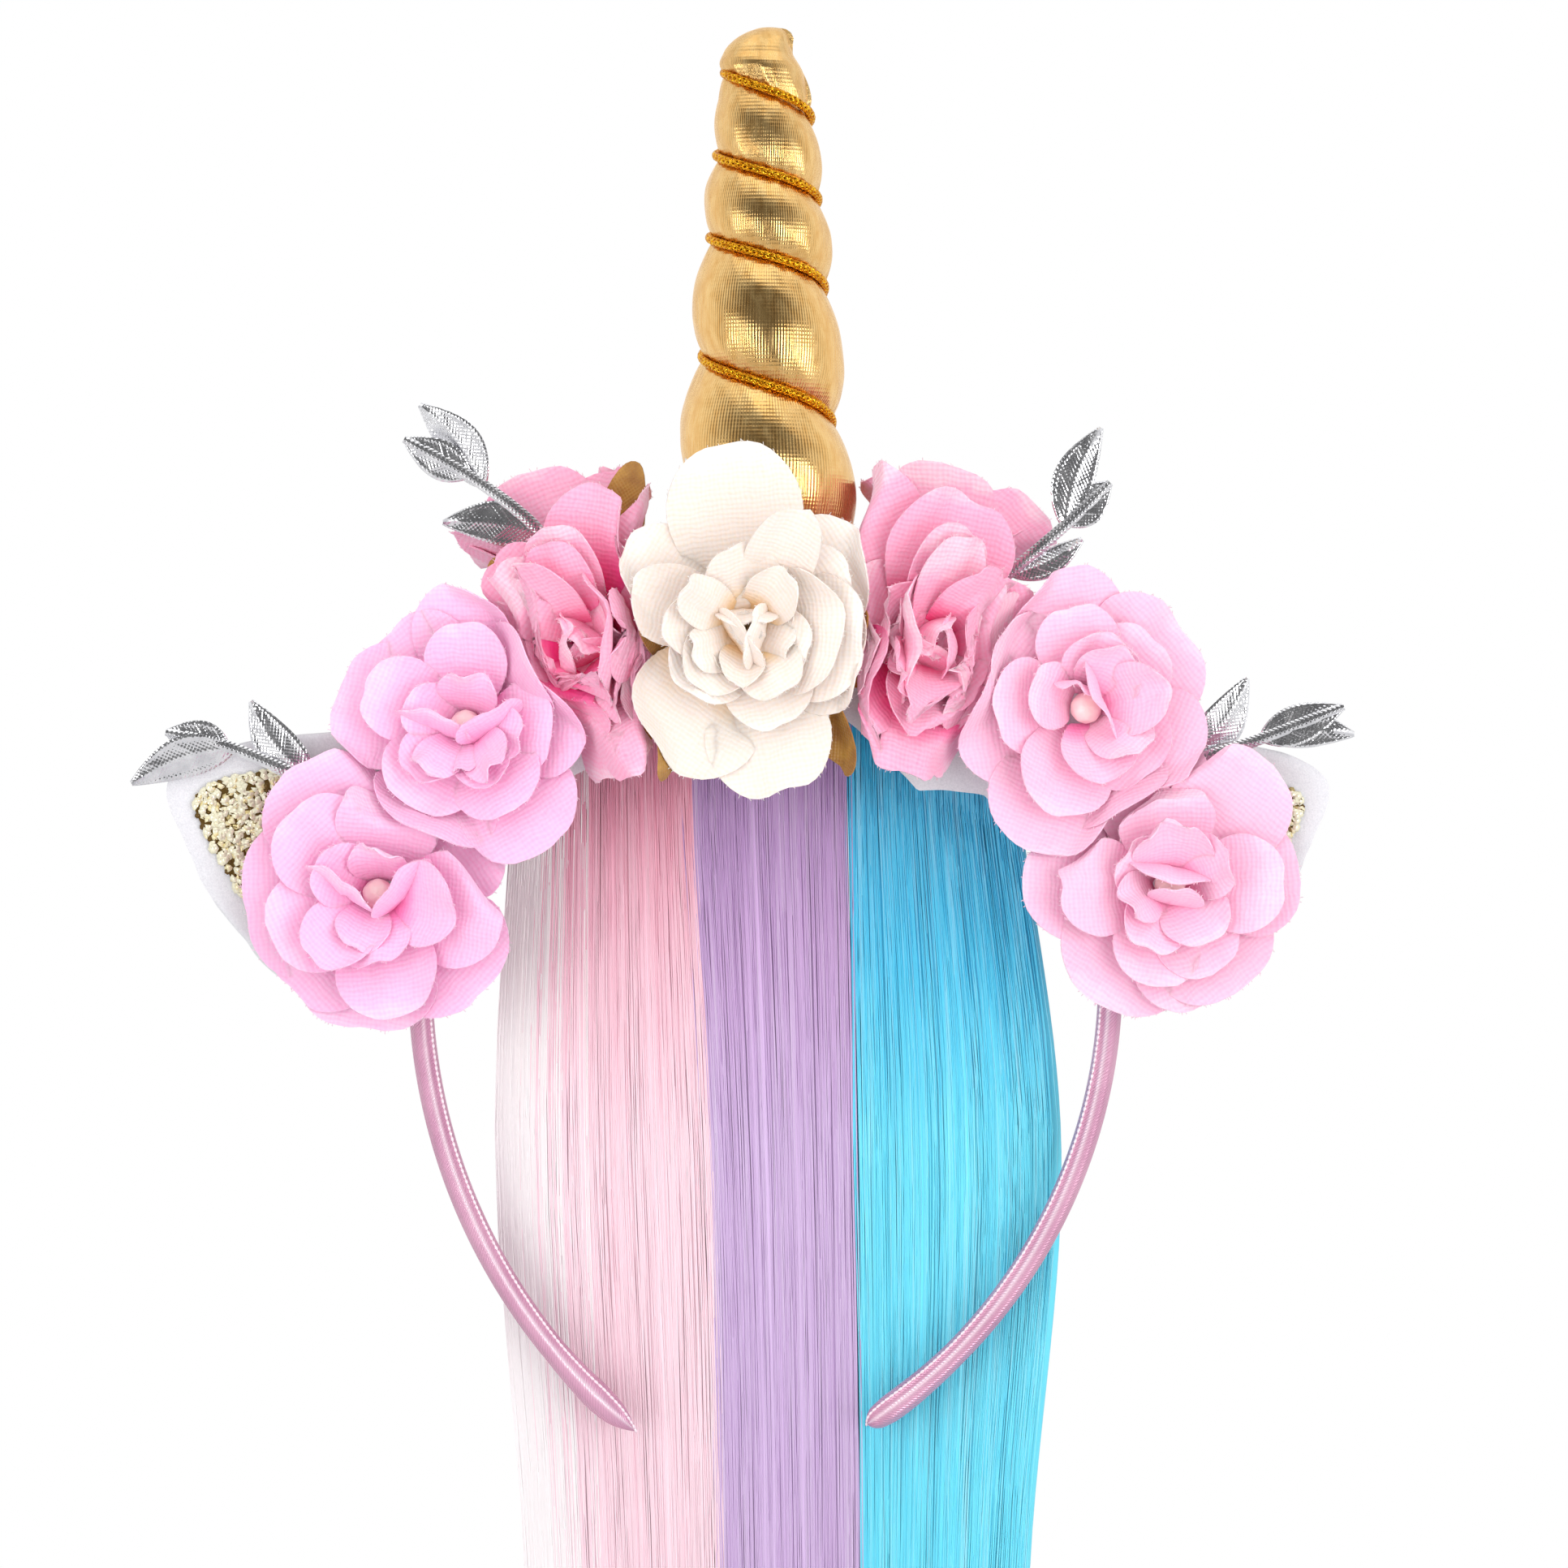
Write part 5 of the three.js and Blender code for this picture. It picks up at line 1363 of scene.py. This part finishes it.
# %% [markdown]
# ## Roses
# Each rose is made of single petals of stiffened cloth round a hub. One function makes every petal: lines
# run from the hub outwards and open from one angle to another, and the outline, the cup, the tilt, the
# ruffle and the folds are small terms on top. A table per rose gives where each petal points, how far it
# reaches and how wide it is. Small pads close the three big hearts, and short loose threads stand out
# from the cut rims. Petals of neighbouring roses press against each other, so every line is settled:
# it slides along a plane between the roses instead of crossing it.

# %% One petal
PETAL_THICK = 0.3
FOLDS = 4
FOLD_DEPTH = 0.08
FOLD_WIDTH = 0.1
PETAL_TILT = 0.09
CURL_FROM = 0.8
HUB_WIDTH = 0.42
FULL_WIDTH_AT = 0.72
PAD_RISE = 7.5
SWAY_LENGTH = 3.5
# Kind: opening angles at the hub and at the rim, share of the hub radius, wrap round the hub, cup, wave,
# rim curl.
PETAL_KINDS = {
    "flat": (64, 90, 1.0, 0.12, 0.03, 0.03, -0.012),
    "bowl": (48, 80, 1.0, 0.22, 0.07, 0.04, -0.012),
    "lift": (36, 64, 1.0, 0.4, 0.09, 0.055, 0.0),
    "flap": (22, 56, 1.0, 0.35, 0.05, 0.12, 0.03),
    "stand": (12, 40, 0.9, 0.5, 0.06, 0.12, 0.05),
    "fence": (10, 24, 1.8, 0.15, 0.03, 0.07, 0.08),
    "wall": (6, -34, 1.25, 0.06, 0.02, 0.04, 0.02),
    "frill": (34, 70, 0.6, 0.3, 0.05, 0.15, 0.05),
    "curl": (12, -30, 1.2, 0.25, 0.04, 0.1, 0.06),
    "pad": (66, 80, 0.0, 0.0, 0.04, 0.06, 0.0),
    "sepal": (74, 96, 1.0, 0.2, 0.05, 0.02, 0.0),
}
UPRIGHT = ("stand", "fence", "wall", "curl")
# Layer: hub radius, height above the seat, and how much of the deep heart colour, dye and painted shade, it
# leaves out.
LAYER_SEAT = {
    "calyx": (6.0, 0.9, 0.0), "outer": (5.0, 1.6, 0.0), "middle": (4.0, 3.4, 0.08), "inner": (2.8, 5.2, 0.1),
}


def axis_frame(axis):
    axis = unit(np.array(axis, float))
    right = unit(np.array([1.0, 0, 0]) - axis * axis[0])
    return axis, right, np.cross(axis, right)


def shortfall(point, plane, margin):
    """How far points are short of a margin from a plane that sways a little along its length."""
    place, normal, sway = plane
    along = np.cross(normal, (0, 1.0, 0))
    wave = sway * np.sin(point @ along / SWAY_LENGTH)
    return np.clip(margin - (point - place) @ normal + wave, 0, None)[:, None] * normal


def settle(grid, planes, margin):
    """Lines that start at the hub slide along planes that they would cross."""
    settled = grid.copy()
    for row in range(1, len(grid)):
        step = grid[row] - grid[row - 1]
        length = np.linalg.norm(step, axis=1, keepdims=True)
        point = settled[row - 1] + step
        for _ in range(2):
            for plane in planes:
                point = point + shortfall(point, plane, margin)
            point = settled[row - 1] + unit(point - settled[row - 1]) * length
        for plane in planes:
            point = point + shortfall(point, plane, margin * 0.5)
        settled[row] = point
    return settled


def petal_outline(kind, t, rng):
    """Length of each line across the petal, as a share of the longest."""
    if kind == "sepal":
        return 1 - 0.5 * np.abs(t) ** 2.4
    dent = rng.uniform(0, 0.05) * np.exp(-(((t - rng.uniform(-0.4, 0.4)) / 0.25) ** 2))
    uneven = 0.012 * ripple(t * 4, int(rng.integers(1000)), 1.0)
    return (0.5 + 0.5 * np.sqrt(1 - np.abs(t) ** 2.6)) * (1 - dent + uneven)


def petal_relief(kind, t, a, rng):
    """Height of the cloth over its plain form, as a share of the petal's width."""
    cup, wave, curl = PETAL_KINDS[kind][4:]
    phase = rng.uniform(0, 2 * math.pi)
    tilt = rng.uniform(-PETAL_TILT, PETAL_TILT) * t * (0.3 + 0.7 * a)
    ruffle = wave * (np.sin(3.2 * t + phase) * a**2 + 0.6 * np.sin(7 * t + 2 * phase) * a**4)
    rim = curl * np.clip((a - CURL_FROM) / (1 - CURL_FROM), 0, 1) ** 2
    folds = 0
    for place in rng.uniform(-0.7, 0.7, FOLDS):
        depth = rng.uniform(-FOLD_DEPTH, FOLD_DEPTH) * a * (1.15 - a)
        folds = folds + depth * np.exp(-np.abs(t - place * a) / FOLD_WIDTH)
    return cup * t**2 * a + tilt + ruffle + rim + folds


def petal_grid(rose, layer, kind, turn, size, width, shift, seed, rows=15, columns=21):
    first, last, hub_share, wrap = PETAL_KINDS[kind][:4]
    hub = LAYER_SEAT[layer][0] * hub_share
    lift = LAYER_SEAT[layer][1] + (PAD_RISE if kind == "pad" else 0)
    rng = np.random.default_rng(seed)
    s = np.linspace(0, 1, rows)[:, None]
    t = np.sin(np.linspace(-1, 1, columns) * math.pi / 2)[None, :]
    a = s * petal_outline(kind, t, rng)
    start, swing = math.radians(first), math.radians(last - first)
    angle = start + swing * a
    run = (math.cos(start) - math.cos(start + swing)) / swing
    length = size if kind in UPRIGHT else (size - hub) / run
    radial = hub + length * (math.cos(start) - np.cos(angle)) / swing
    height = lift + length * (np.sin(angle) - math.sin(start)) / swing
    widening = np.sin(np.clip(a / FULL_WIDTH_AT, 0, 1) * math.pi / 2)
    across = t * width / 2 * (HUB_WIDTH + (1 - HUB_WIDTH) * widening)
    bend = np.clip(across / np.maximum(radial * 1.15, 4), -1.5, 1.5)
    side = (1 - wrap) * across + wrap * radial * np.sin(bend) + shift
    radial = radial - wrap * radial * (1 - np.cos(bend))
    rise = width * petal_relief(kind, t, a, rng)
    radial = radial - rise * np.cos(angle)
    height = height + rise * np.sin(angle)
    axis, right, up = axis_frame(rose["axis"])
    out = right * math.cos(math.radians(turn)) + up * math.sin(math.radians(turn))
    spread = radial[..., None] * out + side[..., None] * np.cross(axis, out)
    grid = np.array(rose["at"]) + spread + height[..., None] * axis
    return grid, np.stack([across, length * a], -1), a


print("petal kinds:", ", ".join(PETAL_KINDS))

# %% Where the roses stand and what they press against
SEAT_Y = -6.35
WHITE_Y = -15.8
BACK_Y = 2.15
CROWD_Y = SEAT_Y - 8
HORN_CLEARANCE = 19.8
BACK_ROSE_X = 18.0
STEM_ROOM = 1.6
SWAY = 1.7
ROSES = {
    "white": {"at": (-3.4, WHITE_Y, 2.6), "axis": (0, -1, 0), "slot": "petal_white"},
    "mid_left": {"at": (-32.6, SEAT_Y - 2.2, -0.6), "axis": (-0.3, -0.9, 0.02), "slot": "petal_rose"},
    "mid_right": {"at": (29.2, SEAT_Y - 2.2, -0.6), "axis": (0.3, -0.9, 0.02), "slot": "petal_rose"},
    "upper_left": {"at": (-57, SEAT_Y - 1.2, -16.6), "axis": (-0.15, -1, 0.08), "slot": "petal_lilac"},
    "upper_right": {"at": (61.2, SEAT_Y - 1.2, -13.2), "axis": (0.15, -1, 0.08), "slot": "petal_blush"},
    "lower_left": {"at": (-74.4, SEAT_Y - 0.7, -48.8), "axis": (-0.1, -1, 0), "slot": "petal_lilac"},
    "lower_right": {"at": (77.9, SEAT_Y - 0.7, -46.9), "axis": (0.1, -1, 0), "slot": "petal_blush"},
    "back_left": {"at": (-38, BACK_Y, 12), "axis": (-0.28, 0.25, 0.92), "slot": "petal_rose"},
    "back_right": {"at": (34, BACK_Y, 12), "axis": (0.28, 0.25, 0.92), "slot": "petal_rose"},
}
# Crowded pair: the rose on top, the rose under it, and how far the plane between them leans.
CROWDED = [
    ("upper_left", "lower_left", 0.8),
    ("upper_right", "lower_right", 0.8),
    ("upper_left", "mid_left", 0.6),
    ("upper_right", "mid_right", 0.6),
    ("white", "mid_left", 0.7),
    ("white", "mid_right", 0.7),
]


def rose_planes(name):
    """Planes that a rose keeps to one side of: the felt, its neighbours and the horn."""
    if name.startswith("back"):
        side = -1.0 if name.endswith("left") else 1.0
        felt = (np.array([0, FELT_BACK_Y + 0.3, 0]), np.array([0, 1.0, 0]), 0.0)
        return [felt, (np.array([side * BACK_ROSE_X, 0, 0]), np.array([side, 0, 0]), 0.0)]
    stem_room = STEM_ROOM if name.startswith("mid") else 0.0
    planes = [(np.array([0, SEAT_Y - stem_room, 0]), np.array([0, -1.0, 0]), 0.0)]
    for over, under, lean in CROWDED:
        if name in (over, under):
            ends = [np.array(ROSES[rose]["at"], float) * (1, 0, 1) for rose in (over, under)]
            normal = unit(unit(ends[1] - ends[0]) + lean * np.array([0, 1.0, 0]))
            middle = (ends[0] + ends[1]) / 2 + np.array([0, CROWD_Y, 0])
            planes.append((middle, -normal if name == over else normal, SWAY))
    if name.startswith("mid"):
        away = np.array([-0.8 if name.endswith("left") else 0.8, -0.6, 0])
        planes.append((np.array([0, HORN_Y, 0]) + HORN_CLEARANCE * away, away, 0.0))
    return planes


print("roses:", len(ROSES))

# %% Petals of each rose, read from the photograph
# Petal: kind, turn (0 to the right, 90 up), reach from the centre or length if upright, width, shift.
HEART_PADS = [("pad", 72 * k, 2.8, 5) for k in range(5)]
FRONT_PETALS = {
    "white": {
        "calyx": [
            ("sepal", 181, 25, 13), ("sepal", 2, 25, 13), ("sepal", 230, 36, 13), ("sepal", 311, 36, 13),
            ("sepal", 80, 22, 11),
        ],
        "outer": [
            ("flat", 96, 36, 28), ("flat", 148, 29, 22), ("flat", 237, 31, 30), ("flat", -79, 33, 26),
            ("flat", 36, 29, 24), ("flat", -18, 26, 25),
        ],
        "middle": [
            ("bowl", -8, 23, 27), ("lift", 64, 25, 15), ("bowl", 163, 24, 17), ("bowl", 35, 23, 16),
            ("lift", 222, 17, 20), ("bowl", -70, 20, 19), ("lift", -5, 18.5, 28),
        ],
        "inner": [
            ("lift", 95, 16, 17), ("lift", 178, 16, 15), ("flap", 150, 15, 11), ("lift", 225, 15, 16),
            ("lift", -60, 15, 15), ("lift", -20, 13, 14), ("flap", 50, 13, 12), ("flap", 195, 12, 11, 2),
            ("frill", 40, 10, 13), ("frill", 112, 10, 13), ("frill", 184, 11, 13), ("frill", 256, 10, 13),
            ("frill", 328, 10, 13), ("wall", 92, 12, 13), ("wall", 215, 13, 15, 1),
            ("wall", 340, 13, 14, -1), ("flap", 262, 11, 10), *HEART_PADS,
        ],
    },
    "mid_left": {
        "calyx": [
            ("sepal", 76, 37, 12), ("sepal", 142, 27, 11), ("sepal", 200, 21, 11), ("sepal", 300, 22, 11),
        ],
        "outer": [
            ("bowl", 78, 31, 24), ("flat", 52, 34, 20), ("bowl", 20, 24, 30), ("bowl", -65, 29, 25),
            ("bowl", 265, 27, 24), ("bowl", 137, 25, 20), ("bowl", 190, 24, 24), ("bowl", -25, 26, 24),
        ],
        "middle": [
            ("lift", 137, 21, 17), ("lift", 97, 23, 17), ("lift", 10, 18, 20), ("lift", 240, 19, 20),
            ("lift", -50, 18, 20), ("lift", 185, 18, 18),
        ],
        "inner": [
            ("fence", 8, 15, 30), ("lift", 100, 20, 15), ("flap", 122, 17, 15), ("flap", 165, 16, 15),
            ("flap", 195, 16, 15), ("flap", 230, 15, 15), ("flap", -60, 15, 15), ("frill", 20, 10, 13),
            ("frill", 80, 11, 13), ("frill", 140, 12, 14), ("frill", 200, 12, 14), ("frill", 260, 11, 13),
            ("frill", 320, 10, 13), ("curl", 60, 12, 14), ("curl", 190, 13, 16), ("wall", 305, 11, 13),
            *HEART_PADS,
        ],
    },
    "mid_right": {
        "calyx": [("sepal", 50 + 72 * k, 21, 11) for k in range(5)],
        "outer": [
            ("bowl", 80, 30, 28), ("flat", 114, 38, 21), ("bowl", 165, 20, 30), ("bowl", 257, 27, 26),
            ("bowl", -70, 26, 24), ("bowl", 8, 24, 25), ("bowl", 205, 27, 24),
        ],
        "middle": [
            ("lift", 84, 23, 17), ("lift", 50, 18, 18), ("lift", 5, 19, 20), ("lift", 255, 18, 18),
            ("lift", 150, 15, 20), ("lift", -50, 18, 18),
        ],
        "inner": [
            ("fence", 172, 15, 28), ("lift", 82, 21, 15), ("flap", 48, 17, 15), ("flap", 5, 17, 16),
            ("flap", -40, 15, 15), ("flap", 255, 16, 14), ("flap", 215, 14, 14), ("frill", 50, 12, 14),
            ("frill", 110, 11, 13), ("frill", 170, 10, 13), ("frill", 230, 11, 13), ("frill", 290, 11, 13),
            ("frill", 350, 12, 14), ("curl", 120, 12, 14), ("curl", 350, 13, 16), ("wall", 235, 11, 13),
            *HEART_PADS,
        ],
    },
    "upper_left": {
        "outer": [
            ("flat", 89, 28.5, 24), ("flat", 166, 27, 27), ("flat", 5, 24, 25), ("flat", 247, 26, 28),
            ("flat", -58, 29, 27), ("flat", 125, 25, 22), ("flat", 45, 24, 22),
        ],
        "middle": [
            ("bowl", 88, 20, 18), ("bowl", 157, 21, 18), ("bowl", -4, 18, 20), ("bowl", 234, 19, 21),
            ("bowl", -58, 20, 20),
        ],
        "inner": [
            ("lift", 225, 14, 14), ("lift", -60, 14, 13), ("lift", -15, 13, 13), ("lift", 160, 12, 13),
            ("flap", 238, 12, 11), ("flap", -50, 13, 12), ("flap", 80, 10, 14),
            ("wall", 245, 11, 17, -5), ("wall", -62, 11, 16, 5), ("flap", 275, 10, 9),
        ],
    },
    "upper_right": {
        "outer": [
            ("flat", 100, 28, 24), ("flat", 40, 26, 29), ("flat", -28, 25, 27), ("flat", 251, 30, 28),
            ("flat", 188, 26, 28), ("flat", 145, 24, 22), ("flat", -70, 25, 24),
        ],
        "middle": [
            ("bowl", 180, 19, 21), ("bowl", 250, 22, 21), ("bowl", 99, 20, 18), ("bowl", 45, 19, 19),
            ("bowl", -44, 18, 21),
        ],
        "inner": [
            ("lift", 74, 14, 18), ("lift", -79, 15, 17), ("lift", 165, 13, 15), ("flap", 10, 14, 16),
            ("flap", 60, 12, 15), ("flap", -45, 13, 14), ("wall", 12, 12, 19, 1), ("curl", 70, 10, 12, 3),
        ],
    },
    "lower_left": {
        "outer": [
            ("flat", 183, 27, 33), ("flat", 262, 27, 30), ("flat", 319, 28, 29), ("flat", 119, 30, 30),
            ("flat", 40, 26, 30), ("flat", 225, 26, 26),
        ],
        "middle": [
            ("bowl", 137, 23, 23), ("bowl", 80, 22, 22), ("bowl", -10, 26, 25), ("bowl", -81, 24, 22),
            ("bowl", 203, 22, 22),
        ],
        "inner": [
            ("lift", -10, 17, 19), ("lift", 227, 17, 16), ("lift", 265, 14, 18), ("lift", 150, 13, 15),
            ("wall", 239, 12, 18, -6), ("wall", -52, 12, 17, 5), ("flap", 250, 11, 12), ("flap", 85, 10, 13),
        ],
    },
    "lower_right": {
        "outer": [
            ("flat", 52, 31, 26), ("flat", 173, 29, 28), ("flat", 238, 27, 29), ("flat", -54, 25, 27),
            ("flat", 100, 29, 26), ("flat", 5, 26, 25), ("flat", 285, 25, 24),
        ],
        "middle": [
            ("bowl", 181, 23, 21), ("bowl", 1, 22, 21), ("bowl", 256, 20, 19), ("bowl", -65, 19, 18),
            ("bowl", 95, 20, 21),
        ],
        "inner": [
            ("lift", 244, 14, 15), ("lift", -54, 13, 16), ("lift", 150, 12, 15), ("flap", 95, 12, 18),
            ("flap", 30, 12, 15), ("wall", 80, 11, 18, 1), ("wall", 255, 12, 12, 1), ("flap", 200, 11, 12),
        ],
    },
}
BACK_PETALS = {
    "outer": [
        *(("lift", 18 + 60 * k, 21, 25) for k in range(6)),
        *(("flap", 40 + 72 * k, 17, 20) for k in range(5)),
    ],
    "inner": [
        *(("flap", 40 + 60 * k, 13, 15) for k in range(6)),
        *(("stand", 10 + 90 * k, 14, 12) for k in range(4)),
    ],
}
DYE_SPREAD = {"petal_white": 0.2, "petal_rose": 0.36, "petal_lilac": 0.18, "petal_blush": 0.18}
# Rose or heart: how much deeper its colour is than that of the others; the deep colour is partly dye and
# partly painted shade.
DEEPER_DYE_AND_SHADE = {"back": 0.2, "mid": 0.1, "white_inner": 0.4}
# Room to a plane: least, more for each layer above the lowest, and more for each petal in the table.
SETTLE_ROOM = (0.4, 0.6, 0.2)
# Steps of the random seed: for each rose, each layer, and from a petal's form to its dye.
SEED_STEPS = (100, 20, 7)
FRAYS = 40
FRAY_FROM = 6
FRAY_LENGTH = (0.2, 0.7)
FRAY_RADIUS = 0.08


def fray_lines(grid, rng):
    """Short loose threads that stand out from a petal's cut rim, as lines of two points."""
    edge = np.concatenate([grid[FRAY_FROM:, 0], grid[-1, 1:-1], grid[:FRAY_FROM - 1:-1, -1]])
    inside = np.concatenate([grid[FRAY_FROM:, 1], grid[-2, 1:-1], grid[:FRAY_FROM - 1:-1, -2]])
    along = rng.uniform(0, len(edge) - 1.001, FRAYS)
    index = along.astype(int)
    share = (along - index)[:, None]
    start = edge[index] * (1 - share) + edge[index + 1] * share
    way = unit(unit(edge - inside)[index] + rng.normal(0, 0.35, (FRAYS, 3)))
    length = rng.uniform(*FRAY_LENGTH, (FRAYS, 1))
    return list(np.stack([start - 0.2 * way, start + length * way], 1))


def layer_dye_and_shade(name, layer):
    """How pale a layer is; the deep-pink roses and the heart of the white rose are deeper."""
    deeper = [depth for start, depth in DEEPER_DYE_AND_SHADE.items() if f"{name}_{layer}".startswith(start)]
    return LAYER_SEAT[layer][2] - sum(deeper)


def rose_layer(name, layer, petals, order, seed):
    """Arrays of a layer's petals, and the loose threads at their rims."""
    planes = rose_planes(name)
    pale = layer_dye_and_shade(name, layer)
    spread = DYE_SPREAD[ROSES[name]["slot"]]
    least, per_layer, per_petal = SETTLE_ROOM
    parts, frays = [], []
    for number, (kind, turn, size, width, *shift) in enumerate(petals):
        form = (kind, turn, size, width, sum(shift))
        grid, flat, reach = petal_grid(ROSES[name], layer, *form, seed + number)
        grid = settle(grid, planes, least + per_layer * order + per_petal * number)
        thickness = np.full(grid.shape[:2], PETAL_THICK)
        # The petal's place on the colour ramp: deep at the hub, partly dye and partly painted shade, pale at
        # the rim.
        dye = pale + np.random.default_rng(seed + number + SEED_STEPS[2]).uniform(-spread, spread)
        parts.append(cloth(grid, thickness, flat, reach=np.clip(dye + (1 - pale) * reach, 0, 1)))
        frays += fray_lines(grid, np.random.default_rng(seed + number))
    return pack(parts), frays


# %% Make the roses
for index, (name, rose) in enumerate(ROSES.items()):
    layers = BACK_PETALS if name.startswith("back") else FRONT_PETALS[name]
    rose_frays = []
    for order, (layer, petals) in enumerate(layers.items()):
        slot = "calyx_bronze" if layer == "calyx" else rose["slot"]
        part, frays = rose_layer(name, layer, petals, order, SEED_STEPS[0] * index + SEED_STEPS[1] * order)
        piece = make_piece(f"petals_{name}_{layer}", part, finishes[slot])
        dress(piece, slot, f"rose_{name}_{layer}")
        rose_frays += frays if layer != "calyx" else []
    source = path_object("fray_lines", rose_frays, reach=np.ones(2 * len(rose_frays)))
    fray = grown(f"fray_{name}", source, threads, radius=FRAY_RADIUS * MM, material=finishes[rose["slot"]])
    dress(fray, rose["slot"])

# %% [markdown]
# ## Beads
# The four side roses carry a small pale bead in the middle. It is a knobbly ball, and its place comes
# from the frame.

# %% Knobbly beads
BEAD_RADIUS = 3.0
KNOB_HEIGHT = 0.05
POLE = 0.02


def bead_part(centre, radius, rows=26, columns=36):
    tilt = np.linspace(POLE, math.pi - POLE, rows)[:, None]
    turn = np.linspace(0, 2 * math.pi, columns, endpoint=False)[None, :]
    knobs = KNOB_HEIGHT * np.sin(5 * turn) * np.sin(6 * tilt) * np.sin(tilt)
    r = radius * (1 + knobs)
    ball = [r * np.sin(tilt) * np.cos(turn), -r * np.cos(tilt), r * np.sin(tilt) * np.sin(turn)]
    ball = np.stack(np.broadcast_arrays(*ball), -1)
    flat = np.stack(np.broadcast_arrays(turn * radius, tilt * radius), -1)
    return tube(ball + np.array(centre), flat)


for name in ("upper_left", "upper_right", "lower_left", "lower_right"):
    low, high = (np.array(corner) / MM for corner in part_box(f"rose_{name}_bead"))
    bead = make_piece(f"bead_{name}", bead_part((low + high) / 2, BEAD_RADIUS), finishes["bead_cream"])
    dress(bead, "bead_cream", f"rose_{name}_bead")
